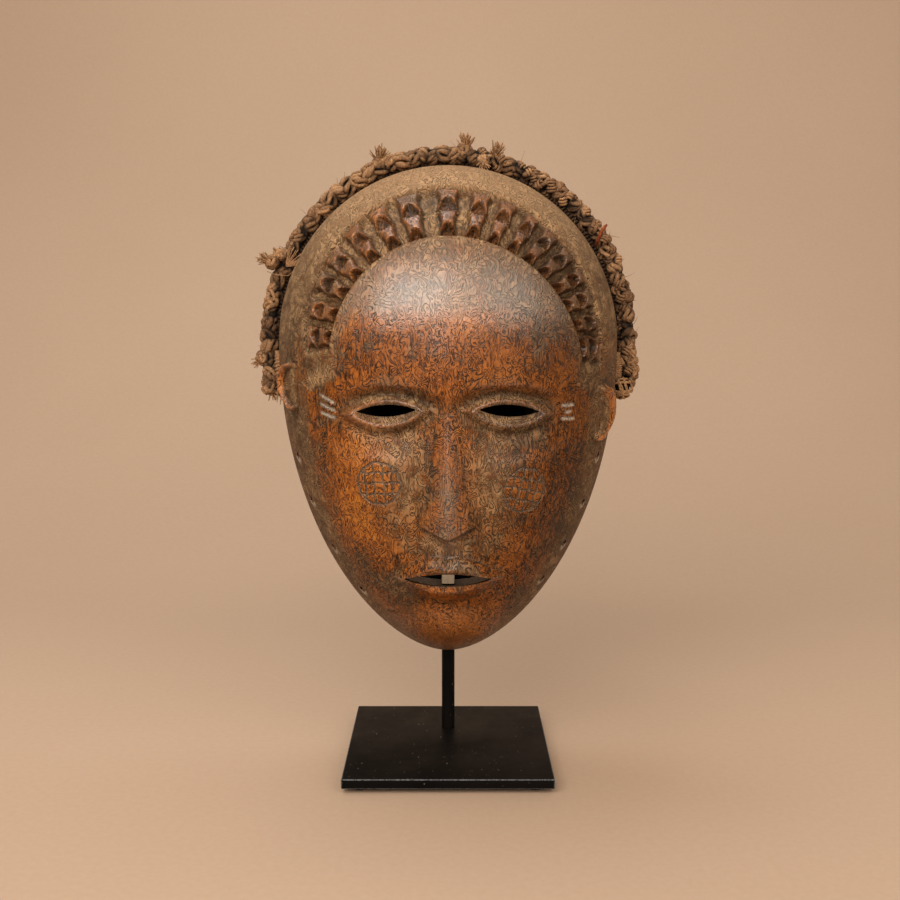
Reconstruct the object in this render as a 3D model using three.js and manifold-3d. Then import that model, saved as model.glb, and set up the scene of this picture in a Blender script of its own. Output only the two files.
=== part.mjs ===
// A carved wooden face mask with a knotted fibre trim, held up by a steel display stand.
// Millimetres, +Z up. The mask faces -Y. Dimensions count from under the middle of the base, at the feet,
// and at the end the whole is moved so that the origin is under the middle of its bounding box.

import * as THREE from "three";
import { mergeVertices } from "three/addons/utils/BufferGeometryUtils.js";
import Module from "manifold-3d";

const wasm = await Module();
wasm.setup();

const DEGREE = Math.PI / 180;
const GAP = 0.3; // between pieces that touch

// Stand: a square plate on four feet, and a round post that goes up behind the chin to the hollow's crown.
const BASE_SIDE = 105;
const BASE_THICK = 5;
const BASE_CHAMFER = 0.6;
const FOOT_HEIGHT = 2.5;
const FOOT_DIAMETER = 8;
const FOOT_INSET = 9;
const POST_DIAMETER = 7;
const POST_Y = 18.5;

// Folded steel plate on the back of the post, seen through the eyes, with felt on its lower part.
const PLATE_THICK = 2.5;
const PLATE_HALF_WIDTH = 41;
const PLATE_WING = 12;
const PLATE_LOW_Z = 70;
const PLATE_TOP_Z = 206;
const PLATE_FOOT_HALF_WIDTH = 17;
const PLATE_SHOULDER_Z = 128;
const FELT_THICK = 1.2;
const FELT_HALF_WIDTH = 33;
const FELT_TOP_Z = 88.5;
const FELT_RISE = 9;
const PAD_WIDTH = 6.8;
const PAD_DEPTH = 2;
const PAD_LOW_Z = 90;
const PAD_HEIGHT = 14;

// Mask: an egg-shaped shell. Its rim lies in one plane, which leans back towards the crown.
const MASK_HEIGHT = 255;
const MASK_WIDTH = 178;
const CHIN_Z = 57;
const WIDEST_AT = 0.64; // share of the height, from the chin
const RIM_CHIN_Y = 13.6; // the chin leans back against the post
const RIM_TOP_Y = 38;
const FRONT_Y = -77.5;
const FULLNESS = 2.3; // 2 would be an ellipse from front to rim
const CHIN_TAPER = 0.08;
const WALL = 8;
const FRONT_WALL = 11;
const OUTER_TRIANGLES = 1240;

const MIDDLE_Z = CHIN_Z + WIDEST_AT * MASK_HEIGHT;
const HALF_WIDTH = MASK_WIDTH / 2;
const UPPER_HEIGHT = (1 - WIDEST_AT) * MASK_HEIGHT;
const LOWER_HEIGHT = WIDEST_AT * MASK_HEIGHT;

// Coiffure: a sunk band of faceted blocks between the hairline and a smooth outer band.
// Radii are shares of the way from the middle of the face to the rim, seen from the front.
const HAIRLINE_TOP = 0.533;
const HAIRLINE_LEFT = 0.61;
const HAIRLINE_RIGHT = 0.69;
const BAND_EDGE_TOP = 0.8;
const BAND_EDGE_LEFT = 0.755;
const BAND_EDGE_RIGHT = 0.825;
const BLOCKS_LEFT = 7;
const BLOCKS_RIGHT = 9;
const LEFT_END = 86 * DEGREE;
const RIGHT_END = 90 * DEGREE;
const BLOCK_SPREAD = 0.87;
const BAND_DEPTH = 3.6;
const BAND_STATIONS = 32;

// Face: laid out by ratio. The face is in thirds from hairline to brow to nose base to chin, the eyes halve
// the head with its trim, an eye is a fifth of the face's width, and the mouth is a third below the nose.
const HAIRLINE_Z = MIDDLE_Z + HAIRLINE_TOP * UPPER_HEIGHT;
const CHIN_FRONT_Z = CHIN_Z + 8;
const THIRD = (HAIRLINE_Z - CHIN_FRONT_Z) / 3;
const BROW_Z = CHIN_FRONT_Z + 2 * THIRD;
const NOSE_BASE_Z = CHIN_FRONT_Z + THIRD;
const MOUTH_Z = NOSE_BASE_Z - THIRD / 3;
const EYE_Z = CHIN_Z + 0.52 * MASK_HEIGHT;
const FACE_WIDTH = 140;
const EYE_SLIT = FACE_WIDTH / 5;
const EYE_X = FACE_WIDTH / 5;
const EYE_HALF = 21.5; // with its lids
const EYE_RISE = 8.5;
const EYE_FALL = 9.5;
const EYE_OPEN = 2.8;
const EYE_SLIT_LIFT = 0.8;
const EYE_SLANT = 0.05;
const SOCKET_DEPTH = 7;
const SOCKET_HALF = 33;
const NOSE_HALF = 14;
const NOSE_STAND = 10;
const MOUTH_HALF = 27;
const MOUTH_RISE = 10.5;
const MOUTH_FALL = 12;
const MOUTH_SLIT_HALF = 21;
const MOUTH_OPEN = 3.4;

// Ears, temple cuts and the holes along the lower rim.
// Their angles are from straight up.
const LEFT_EAR = { side: -1, angle: 98.5 * DEGREE, halfHeight: 11.5, halfWidth: 14 };
const RIGHT_EAR = { side: 1, angle: 104 * DEGREE, halfHeight: 14, halfWidth: 15 };
const EAR_AT = 0.61; // share of the way round from the front to the rim
const EAR_ARC = 144; // millimetres of height for a radian there
const FACE_DEPTH_ARC = 150; // from the middle of the face round to the rim
const EAR_HEIGHT = 1.8;
const TEMPLE_X = 56;
const TEMPLE_CUT = { length: 8, width: 1.3, pitch: 3.6 };
const RIM_HOLES = [-112, -121.5, -133, -145.5, 112, 122, 132, 142]; // degrees from straight up
const RIM_HOLE_AT = 0.69; // share of the way round from the front to the rim
const RIM_HOLE_DIAMETER = 3.6;

// Fibre trim: a knotted rope lashed along the upper rim.
const TRIM_LEFT_END = -98.5 * DEGREE;
const TRIM_RIGHT_END = 96.5 * DEGREE;
const TRIM_RADIUS = 5.4;
const TRIM_LUMP = 0.8;
const TRIM_LUMP_PITCH = 17;
const TRIM_FORWARD = 3;
const TRIM_OFF = 0.7; // between the rope's lumps and the widest place of the rim
const TRIM_SIDES = 5;
// Each knot is [angle, radius, how far its middle lies outside the rope's].
const TRIM_KNOTS = [
  [-98.5 * DEGREE, 6.2, 1.2],
  [-93 * DEGREE, 6.8, 3],
  [-62 * DEGREE, 6.8, 4],
  [-22 * DEGREE, 6.6, 2.5],
  [5 * DEGREE, 7.2, 3],
  [98 * DEGREE, 7.2, 1],
];

function clamp01(x) {
  return Math.min(1, Math.max(0, x));
}

function mix(a, b, t) {
  return a + (b - a) * t;
}

function smooth(from, to, x) {
  const t = clamp01((x - from) / (to - from));
  return t * t * (3 - 2 * t);
}

function bell(distance, width) {
  return Math.exp(-((distance / width) ** 2));
}

// The outline of a lens drawn by two arcs between corners at -half and +half.
function lensOutline(half, rise, fall, steps) {
  const points = [];
  for (let i = 0; i < 2 * steps; i += 1) {
    const u = half * Math.cos((Math.PI * i) / steps);
    const height = i < steps ? rise : fall;
    const radius = (half * half + height * height) / (2 * height);
    const v = Math.sqrt(Math.max(radius * radius - u * u, 0)) + height - radius;
    points.push([u, i < steps ? v : -v]);
  }
  return points;
}

function rimY(z) {
  return mix(RIM_CHIN_Y, RIM_TOP_Y, (z - CHIN_Z) / MASK_HEIGHT);
}

// The plain shell over the unit disc: its middle is the middle of the face, and its edge is the rim.
// Inset makes the hollow's smaller shell. From the front, the point lies at (across, up) of the rim's size.
function shellAt(p, q, inset = 0, frontInset = 0) {
  const radius = Math.hypot(p, q);
  const turn = (radius * Math.PI) / 2;
  const sine = Math.sin(turn);
  const cosine = Math.max(Math.cos(turn), 0);
  const reach = 1 / (sine ** FULLNESS + cosine ** FULLNESS) ** (1 / FULLNESS);
  const across = radius ? (reach * sine * p) / radius : 0;
  const up = radius ? (reach * sine * q) / radius : 0;
  const narrowing = up < 0 ? Math.max(1 - up * up, 0) ** CHIN_TAPER : 1;
  const z = MIDDLE_Z + up * ((up > 0 ? UPPER_HEIGHT : LOWER_HEIGHT) - inset);
  const x = across * (HALF_WIDTH - inset) * narrowing;
  const y = mix(rimY(z), FRONT_Y + frontInset, reach * cosine);
  return { point: new THREE.Vector3(x, y, z), across, up, radius };
}

// The way out of the shell at a point of the disc.
function shellNormal(p, q) {
  const step = 1e-3;
  const inner = 1 - step;
  const alongP = shellAt(p * inner + step, q * inner).point.sub(shellAt(p * inner - step, q * inner).point);
  const alongQ = shellAt(p * inner, q * inner + step).point.sub(shellAt(p * inner, q * inner - step).point);
  return alongP.cross(alongQ).normalize();
}

// The disc's radius for a point that lies at this share of the rim's size, seen from the front.
function discRadius(share) {
  return Math.atan2(share, Math.max(1 - share ** FULLNESS, 0) ** (1 / FULLNESS)) / (Math.PI / 2);
}

// Where the shell's surface stands behind the point (x, z) of the front view.
function shellY(x, z) {
  const up = (z - MIDDLE_Z) / (z > MIDDLE_Z ? UPPER_HEIGHT : LOWER_HEIGHT);
  const narrowing = up < 0 ? (1 - up * up) ** CHIN_TAPER : 1;
  const across = x / (HALF_WIDTH * narrowing);
  const share = Math.hypot(across, up);
  const radius = discRadius(share);
  return shellAt((radius * across) / (share || 1), (radius * up) / (share || 1)).point.y;
}

function socket(x, z) {
  const away = z - EYE_Z + 1;
  const side = (Math.abs(x) - EYE_X + 2) / SOCKET_HALF;
  const distance = Math.hypot(side, away / (away > 0 ? 15 : 27));
  const shoulder = mix(0.1, 0.48, smooth(-6, 9, away));
  return -SOCKET_DEPTH * (1 - smooth(shoulder, 1, distance));
}

// The face's broad forms, as they stand proud of the shell or are hollowed out of it along -Y.
function broadForms(x, z) {
  const muzzle = 3.5 * bell(Math.hypot(x / 36, (z - MOUTH_Z) / 24), 0.8);
  const chin = 3 * bell(Math.hypot(x / 16, (z - CHIN_FRONT_Z - 13) / 12), 1);
  const underLip = -1.6 * bell(Math.hypot(x / 17, (z - MOUTH_Z + 16) / 4), 1);
  const cheek = 2.4 * bell(Math.hypot((Math.abs(x) - 38) / 17, (z - NOSE_BASE_Z - 22) / 22), 1);
  const forehead = 2.5 * bell(Math.hypot(x / 46, (z - BROW_Z - 30) / 26), 1);
  return socket(x, z) + muzzle + chin + underLip + cheek + forehead;
}

// A point of the mask's outer face, before the features are joined on.
function broadAt(p, q) {
  const { point, radius } = shellAt(p, q);
  point.y -= broadForms(point.x, point.z) * (1 - smooth(0.62, 0.9, radius));
  return point;
}

// A lens-shaped form on the face. Each step up is [inset from the outline, height].
function lensForm(x, z, slant, half, rise, fall, steps) {
  const rings = steps.map(([inset, height]) => {
    const outline = lensOutline(half - 1.8 * inset, rise - inset, fall - inset, 8);
    return outline.map(([u, v]) => {
      const at = [x + u, z + v + slant * u];
      return [at[0], shellY(...at) - broadForms(...at) - height, at[1]];
    });
  });
  return ringsSolid(rings);
}

function eyeForm(side) {
  const steps = [[0, -4], [0, 1.4], [0.9, 3.4], [2.2, 2.7], [4.6, 4.8]];
  return lensForm(side * EYE_X, EYE_Z, -side * EYE_SLANT, EYE_HALF, EYE_RISE, EYE_FALL, steps);
}

function lipsForm() {
  const steps = [[0, -4], [0, 1.2], [3, 4.2], [6, 5.2]];
  return lensForm(0, MOUTH_Z, 0, MOUTH_HALF, MOUTH_RISE, MOUTH_FALL, steps);
}

// A ridge from between the brows that widens to a lozenge, cut off below in a shallow V.
function noseForm() {
  const rings = [];
  for (const t of [-0.24, -0.06, 0.15, 0.4, 0.62, 0.76, 0.88, 1]) {
    const half = mix(4.6, 8, smooth(-0.1, 0.7, t)) + (NOSE_HALF - 8) * smooth(0.66, 0.97, t);
    const crest = mix(-0.6, NOSE_STAND, clamp01(t) ** 1.25) - 6 * smooth(0.02, -0.3, t);
    const foot = mix(-9, 1, smooth(0.25, 0.7, t));
    const level = mix(BROW_Z, NOSE_BASE_Z, t);
    const ring = [-1, -0.72, -0.4, 0, 0.4, 0.72, 1].map((share) => {
      const x = share * half;
      const z = level + (t === 1 ? 0.45 * Math.abs(x) - 2 : 0);
      return [x, shellY(x, z) - (crest - (crest - foot) * Math.abs(share) ** 1.7), z];
    });
    ring.push([half, shellY(half, level) + 10, level], [-half, shellY(half, level) + 10, level]);
    rings.push(ring);
  }
  return ringsSolid(rings);
}

// A low ear on the side wall. It grows out of the face and its back edge stands free.
function earForm({ side, angle: level, halfHeight, halfWidth }) {
  const steps = [[0, -2], [0, EAR_HEIGHT], [1.5, EAR_HEIGHT + 0.8], [3, EAR_HEIGHT - 0.6]];
  const rings = steps.map(([inset, height]) => {
    const ring = [];
    for (let i = 0; i < 16; i += 1) {
      const turn = (2 * Math.PI * i) / 16;
      const rise = (halfHeight - inset) * Math.cos(turn);
      const narrow = (halfWidth - inset) * mix(0.55, 1, smooth(-halfHeight, 0, rise));
      const back = narrow * Math.sin(turn);
      const radius = EAR_AT + back / FACE_DEPTH_ARC;
      const angle = side * (level - rise / EAR_ARC);
      const [p, q] = [radius * Math.sin(angle), radius * Math.cos(angle)];
      const stand = height > 0 ? height * smooth(-narrow, -0.2 * narrow, back) - 0.3 : height;
      ring.push(shellAt(p, q).point.addScaledVector(shellNormal(p, q), stand).toArray());
    }
    return ring;
  });
  return ringsSolid(rings);
}

const blockAngles = [];
for (let i = -BLOCKS_LEFT; i <= BLOCKS_RIGHT; i += 1) {
  const share = Math.abs(i) / (i < 0 ? BLOCKS_LEFT : BLOCKS_RIGHT);
  blockAngles.push(Math.sign(i) * (i < 0 ? LEFT_END : RIGHT_END) * share ** BLOCK_SPREAD);
}
const lastBlock = blockAngles.length - 1;
const bayWalls = blockAngles.slice(1).map((angle, i) => (angle + blockAngles[i]) / 2);
const bandStart = 2 * blockAngles[0] - bayWalls[0];
const bandStop = 2 * blockAngles[lastBlock] - bayWalls[lastBlock - 1];

// A point over the coiffure band. Down runs from 0 at the outer band to 1 at the hairline.
function bandPoint(angle, down, height) {
  const sideways = (angle / (Math.PI / 2)) ** 2;
  const edge = mix(BAND_EDGE_TOP, angle < 0 ? BAND_EDGE_LEFT : BAND_EDGE_RIGHT, sideways);
  const hairline = mix(HAIRLINE_TOP, angle < 0 ? HAIRLINE_LEFT : HAIRLINE_RIGHT, sideways);
  const radius = discRadius(mix(edge, hairline, down));
  const [p, q] = [radius * Math.sin(angle), radius * Math.cos(angle)];
  return shellAt(p, q).point.addScaledVector(shellNormal(p, q), height).toArray();
}

function bandCutter() {
  const rings = [];
  for (let i = 0; i <= BAND_STATIONS; i += 1) {
    const angle = mix(bandStart, bandStop, i / BAND_STATIONS);
    const section = [[0, 5], [0.02, -BAND_DEPTH], [0.98, -BAND_DEPTH], [1, 5]];
    rings.push(section.map(([down, height]) => bandPoint(angle, down, height)));
  }
  return ringsSolid(rings);
}

// One block: two forms in a row, each a saddle that flares out to an arched ridge and is cut back under it.
// Each station is [down at the sides, down in the middle, half width as a share of the bay, height].
function blockForm(index) {
  const middle = blockAngles[index];
  const before = index > 0 ? bayWalls[index - 1] : bandStart;
  const after = index < lastBlock ? bayWalls[index] : bandStop;
  const stations = [
    [0.0, 0.0, 0.46, -1.6],
    [0.17, 0.1, 0.33, -0.8],
    [0.36, 0.19, 0.5, 0.6],
    [0.4, 0.27, 0.52, -2.9],
    [0.46, 0.46, 0.46, -1.1],
    [0.62, 0.58, 0.31, -0.4],
    [0.84, 0.71, 0.42, 1],
    [0.95, 0.95, 0.42, -BAND_DEPTH - 1],
  ];
  const rings = stations.map(([sides, centre, half, height]) => {
    const at = (share) => middle + share * (share < 0 ? middle - before : after - middle);
    const foot = half + 0.18;
    return [
      bandPoint(at(-foot), sides, -BAND_DEPTH - 1.5),
      bandPoint(at(foot), sides, -BAND_DEPTH - 1.5),
      bandPoint(at(half), sides, height),
      bandPoint(at(0), centre, height),
      bandPoint(at(-half), sides, height),
    ];
  });
  return ringsSolid(rings);
}

// A low ridge left between two bays.
function bayWallForm(angle) {
  const half = 1.6 * DEGREE;
  const rings = [0, 0.9].map((down) => [
    bandPoint(angle - half, down, -BAND_DEPTH - 1),
    bandPoint(angle + half, down, -BAND_DEPTH - 1),
    bandPoint(angle, down, -1.6),
  ]);
  return ringsSolid(rings);
}

function discFromSquare(a, b) {
  return [a * Math.sqrt(1 - (b * b) / 2), b * Math.sqrt(1 - (a * a) / 2)];
}

// Triangles over the square, each [corner, corner, right-angled corner]. The worst ones are halved across
// their long side, with the neighbour on that side, until the count is reached.
function fitTriangles(pointAt, cells, wanted) {
  const params = [];
  const points = [];
  const triangles = [];
  const byEdge = new Map();

  function addPoint(a, b) {
    params.push([a, b]);
    points.push(pointAt(...discFromSquare(a, b)));
    return points.length - 1;
  }
  function edgeKey(i, j) {
    return i < j ? i * 1e6 + j : j * 1e6 + i;
  }
  function link(triangle, present) {
    const [a, b, c] = triangle.corners;
    for (const key of [edgeKey(a, b), edgeKey(b, c), edgeKey(c, a)]) {
      const users = byEdge.get(key) ?? new Set();
      if (present) users.add(triangle);
      else users.delete(triangle);
      byEdge.set(key, users);
    }
    triangle.present = present;
  }
  function misfit([a, b, c]) {
    const flat = new THREE.Triangle(points[a], points[b], points[c]);
    const plane = flat.getPlane(new THREE.Plane());
    let sum = 0;
    let count = 0;
    for (let i = 0; i <= 5; i += 1) {
      for (let j = 0; i + j <= 5; j += 1) {
        const weights = [i / 5, j / 5, (5 - i - j) / 5];
        const at = (k) => params[a][k] * weights[0] + params[b][k] * weights[1] + params[c][k] * weights[2];
        const [s, t] = [at(0), at(1)];
        sum += Math.abs(plane.distanceToPoint(pointAt(...discFromSquare(s, t))));
        count += 1;
      }
    }
    return (sum / count) * Math.sqrt(flat.getArea());
  }
  function addTriangle(corners) {
    const triangle = { corners, error: misfit(corners) };
    triangles.push(triangle);
    link(triangle, true);
  }
  function halve(triangle, middle) {
    const [a, b, c] = triangle.corners;
    link(triangle, false);
    addTriangle([c, a, middle]);
    addTriangle([b, c, middle]);
  }
  function split(triangle) {
    const [a, b] = triangle.corners;
    const key = edgeKey(a, b);
    const across = () => [...byEdge.get(key)].find((other) => other !== triangle);
    let other = across();
    while (other && edgeKey(other.corners[0], other.corners[1]) !== key) {
      split(other);
      other = across();
    }
    const middle = addPoint((params[a][0] + params[b][0]) / 2, (params[a][1] + params[b][1]) / 2);
    halve(triangle, middle);
    if (other) halve(other, middle);
  }

  const grid = [];
  for (let j = 0; j <= cells; j += 1) {
    for (let i = 0; i <= cells; i += 1) grid.push(addPoint((2 * i) / cells - 1, (2 * j) / cells - 1));
  }
  for (let j = 0; j < cells; j += 1) {
    for (let i = 0; i < cells; i += 1) {
      const low = j * (cells + 1) + i;
      const [a, b, c, d] = [grid[low], grid[low + 1], grid[low + cells + 2], grid[low + cells + 1]];
      const towardsCorner = (2 * i + 1 - cells) * (2 * j + 1 - cells) > 0;
      addTriangle(towardsCorner ? [c, a, b] : [b, d, a]);
      addTriangle(towardsCorner ? [a, c, d] : [d, b, c]);
    }
  }
  let live = triangles.filter((triangle) => triangle.present);
  while (live.length < wanted) {
    live.sort((one, two) => two.error - one.error);
    const batch = Math.max(1, Math.floor(Math.min(live.length * 0.06, (wanted - live.length) / 3)));
    for (const triangle of live.slice(0, batch)) if (triangle.present) split(triangle);
    live = triangles.filter((triangle) => triangle.present);
  }
  const faces = live.map((triangle) => triangle.corners);
  const rim = [];
  for (const face of faces) {
    for (let k = 0; k < 3; k += 1) {
      const [from, to] = [face[k], face[(k + 1) % 3]];
      if (byEdge.get(edgeKey(from, to)).size === 1) rim.push([from, to]);
    }
  }
  return { points, faces, rim };
}

function geometryFrom(points, faces) {
  const geometry = new THREE.BufferGeometry();
  const values = points.flatMap((point) => point.toArray());
  geometry.setAttribute("position", new THREE.Float32BufferAttribute(values, 3));
  geometry.setIndex(faces.flat());
  return geometry;
}

// Joins closed rings of the same number of points, each [x, y, z], into one solid with flat ends.
function ringsSolid(rings) {
  const count = rings[0].length;
  const points = rings.flat().map((p) => new THREE.Vector3(...p));
  const faces = [];
  for (let k = 0; k + 1 < rings.length; k += 1) {
    for (let i = 0; i < count; i += 1) {
      const [a, b] = [k * count + i, k * count + ((i + 1) % count)];
      faces.push([a, b, b + count], [a, b + count, a + count]);
    }
  }
  const last = (rings.length - 1) * count;
  for (const [start, turned] of [[0, true], [last, false]]) {
    const middle = new THREE.Vector3();
    for (let i = 0; i < count; i += 1) middle.addScaledVector(points[start + i], 1 / count);
    points.push(middle);
    for (let i = 0; i < count; i += 1) {
      const [a, b] = [start + i, start + ((i + 1) % count)];
      faces.push(turned ? [b, a, points.length - 1] : [a, b, points.length - 1]);
    }
  }
  return geometryFrom(points, faces);
}

function solidOf(geometry) {
  const bare = geometry.clone();
  bare.deleteAttribute("normal");
  bare.deleteAttribute("uv");
  const merged = mergeVertices(bare, 1e-4);
  const vertProperties = new Float32Array(merged.attributes.position.array);
  const triVerts = new Uint32Array(merged.index.array);
  const made = new wasm.Manifold(new wasm.Mesh({ numProp: 3, vertProperties, triVerts }));
  if (made.volume() > 0) return made;
  return new wasm.Manifold(new wasm.Mesh({ numProp: 3, vertProperties, triVerts: triVerts.reverse() }));
}

function geometryOf(solid) {
  const { numProp, vertProperties, triVerts } = solid.getMesh();
  const points = [];
  for (let i = 0; i < vertProperties.length; i += numProp) {
    points.push(new THREE.Vector3(vertProperties[i], vertProperties[i + 1], vertProperties[i + 2]));
  }
  const geometry = geometryFrom(points, [Array.from(triVerts)]);
  geometry.computeVertexNormals();
  return geometry;
}

function outerBlock(wanted) {
  const { points, faces, rim } = fitTriangles(broadAt, 16, wanted);
  const middle = new THREE.Vector3(0, rimY(MIDDLE_Z), MIDDLE_Z);
  points.push(middle);
  for (const [from, to] of rim) faces.push([to, from, points.length - 1]);
  return geometryFrom(points, faces);
}

function hollow() {
  const rings = [];
  const sides = 30;
  const steps = 7;
  for (let k = 0; k <= steps; k += 1) {
    const ring = [];
    const radius = Math.max(k / steps, 0.02);
    for (let i = 0; i < sides; i += 1) {
      const angle = (2 * Math.PI * i) / sides;
      const { point } = shellAt(radius * Math.sin(angle), radius * Math.cos(angle), WALL, FRONT_WALL);
      ring.push(point.toArray());
    }
    rings.push(ring);
  }
  rings.push(rings.at(-1).map(([x, y, z]) => [x, y + 10, z]));
  return ringsSolid(rings);
}

// A lens-shaped cutter along Y. Behind the front it widens into the hollow.
function lensCutter(x, z, slant, half, open, flare, thinY) {
  const rings = [];
  for (const [y, grow] of [[-110, 0], [thinY, 0], [thinY + 26, flare]]) {
    const outline = lensOutline(half + grow, open + grow, open + grow, 9);
    rings.push(outline.map(([u, v]) => [x + u, y, z + v + slant * u]));
  }
  return ringsSolid(rings);
}

function rimHoleCutter(angle) {
  const [p, q] = [RIM_HOLE_AT * Math.sin(angle), RIM_HOLE_AT * Math.cos(angle)];
  const geometry = new THREE.CylinderGeometry(RIM_HOLE_DIAMETER / 2, RIM_HOLE_DIAMETER / 2, 40, 6);
  const turn = new THREE.Quaternion().setFromUnitVectors(new THREE.Vector3(0, 1, 0), shellNormal(p, q));
  geometry.applyQuaternion(turn);
  geometry.translate(...shellAt(p, q).point.toArray());
  return geometry;
}

function templeCutter(side, row) {
  const geometry = new THREE.BoxGeometry(TEMPLE_CUT.length, 6, TEMPLE_CUT.width);
  geometry.rotateY(side * (side < 0 ? 0.42 : 0.05));
  const surface = -77.5 + (TEMPLE_X / HALF_WIDTH) ** 2 * 58;
  geometry.translate(side * TEMPLE_X, surface + 1, EYE_Z + 1 + row * TEMPLE_CUT.pitch);
  return geometry;
}

function maskGeometry() {
  let solid = solidOf(outerBlock(OUTER_TRIANGLES)).subtract(solidOf(hollow()));
  solid = solid.subtract(solidOf(bandCutter()));
  for (let i = 0; i <= lastBlock; i += 1) solid = solid.add(solidOf(blockForm(i)));
  for (const angle of bayWalls) solid = solid.add(solidOf(bayWallForm(angle)));
  solid = solid.add(solidOf(noseForm())).add(solidOf(lipsForm()));
  for (const side of [-1, 1]) {
    solid = solid.add(solidOf(eyeForm(side))).add(solidOf(earForm(side < 0 ? LEFT_EAR : RIGHT_EAR)));
    const lift = EYE_Z + EYE_SLIT_LIFT;
    const slit = lensCutter(side * EYE_X, lift, -side * EYE_SLANT, EYE_SLIT / 2, EYE_OPEN, 5, -68);
    solid = solid.subtract(solidOf(slit));
    for (const row of [-1, 0, 1]) solid = solid.subtract(solidOf(templeCutter(side, row)));
  }
  for (const angle of RIM_HOLES) solid = solid.subtract(solidOf(rimHoleCutter(angle * DEGREE)));
  solid = solid.subtract(solidOf(lensCutter(0, MOUTH_Z, 0, MOUTH_SLIT_HALF, MOUTH_OPEN, 9, -59)));
  return geometryOf(solid);
}

// The way out of the rim, in its own plane. The angle is from straight up, and grows to the right.
function rimNormal(angle) {
  const at = (turn) => shellAt(Math.sin(turn), Math.cos(turn)).point;
  const along = at(angle + 0.01).sub(at(angle - 0.01));
  return new THREE.Vector3(-along.z, 0, along.x).normalize();
}

// The middle of the trim's rope beside the rim.
function trimRoute(angle) {
  const outward = TRIM_RADIUS + TRIM_LUMP + TRIM_OFF;
  const { point } = shellAt(Math.sin(angle), Math.cos(angle));
  point.addScaledVector(rimNormal(angle), outward);
  point.y -= TRIM_FORWARD;
  return point;
}

function trimKnot([angle, radius, out]) {
  const middle = trimRoute(angle).addScaledVector(rimNormal(angle), out);
  return new THREE.IcosahedronGeometry(radius, 1).rotateY(angle).translate(...middle.toArray());
}

function trimGeometry() {
  const stations = 24;
  const route = [];
  for (let i = 0; i <= stations; i += 1) {
    route.push(trimRoute(mix(TRIM_LEFT_END, TRIM_RIGHT_END, i / stations)));
  }
  const curve = new THREE.CatmullRomCurve3(route);
  const steps = Math.round(curve.getLength() / (TRIM_LUMP_PITCH / 4));
  const frames = curve.computeFrenetFrames(steps);
  const rings = [];
  for (let k = 0; k <= steps; k += 1) {
    const middle = curve.getPointAt(k / steps);
    const lump = Math.cos((2 * Math.PI * k) / 4 + 0.6);
    const ring = [];
    for (let i = 0; i < TRIM_SIDES; i += 1) {
      const turn = (2 * Math.PI * i) / TRIM_SIDES + k * 0.35;
      const radius = TRIM_RADIUS + TRIM_LUMP * lump * (i % 2 ? 1 : 0.3);
      const point = middle.clone().addScaledVector(frames.normals[k], radius * Math.cos(turn));
      ring.push(point.addScaledVector(frames.binormals[k], radius * Math.sin(turn)).toArray());
    }
    rings.push(ring);
  }
  let solid = solidOf(ringsSolid(rings));
  for (const knot of TRIM_KNOTS) solid = solid.add(solidOf(trimKnot(knot)));
  return geometryOf(solid);
}

function mesh(name, geometry, material) {
  const made = new THREE.Mesh(geometry, material);
  made.name = name;
  return made;
}

const wood = new THREE.MeshStandardMaterial({ color: 0x7a4a2b, roughness: 0.45, metalness: 0 });
const fibre = new THREE.MeshStandardMaterial({ color: 0x77634a, roughness: 0.95, metalness: 0 });
const steel = new THREE.MeshStandardMaterial({ color: 0x1b1b1b, roughness: 0.5, metalness: 0.2 });
const rubber = new THREE.MeshStandardMaterial({ color: 0x141414, roughness: 0.8, metalness: 0 });
const felt = new THREE.MeshStandardMaterial({ color: 0x5b4a3a, roughness: 1, metalness: 0 });
const paleFelt = new THREE.MeshStandardMaterial({ color: 0xc9a27c, roughness: 1, metalness: 0 });

const BASE_LOW = FOOT_HEIGHT + GAP;
const BASE_TOP = BASE_LOW + BASE_THICK;

function baseGeometry() {
  const half = BASE_SIDE / 2 - BASE_CHAMFER;
  const square = new THREE.Shape([
    new THREE.Vector2(-half, -half),
    new THREE.Vector2(half, -half),
    new THREE.Vector2(half, half),
    new THREE.Vector2(-half, half),
  ]);
  const geometry = new THREE.ExtrudeGeometry(square, {
    depth: BASE_THICK - 2 * BASE_CHAMFER,
    bevelSize: BASE_CHAMFER,
    bevelThickness: BASE_CHAMFER,
    bevelSegments: 1,
  });
  return geometry.translate(0, 0, BASE_LOW + BASE_CHAMFER);
}

function footGeometry(x, y) {
  const geometry = new THREE.CylinderGeometry(FOOT_DIAMETER / 2, FOOT_DIAMETER / 2 - 0.5, FOOT_HEIGHT, 16);
  return geometry.rotateX(Math.PI / 2).translate(x, y, FOOT_HEIGHT / 2);
}

// The post's tip carries the mask: it stands just under the hollow's crown.
function postGeometry() {
  const radius = POST_DIAMETER / 2;
  const low = BASE_TOP + GAP;
  let inner = shellAt(0, 1, WALL, FRONT_WALL).point;
  for (let q = 1; inner.y > POST_Y - radius; q -= 0.002) inner = shellAt(0, q, WALL, FRONT_WALL).point;
  const top = inner.z - GAP;
  const round = 1.2;
  const profile = [
    [0, low],
    [radius, low],
    [radius, top - round],
    [radius - round, top],
    [0, top],
  ].map(([x, y]) => new THREE.Vector2(x, y));
  return new THREE.LatheGeometry(profile, 16).rotateX(Math.PI / 2).translate(0, POST_Y, 0);
}

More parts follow.
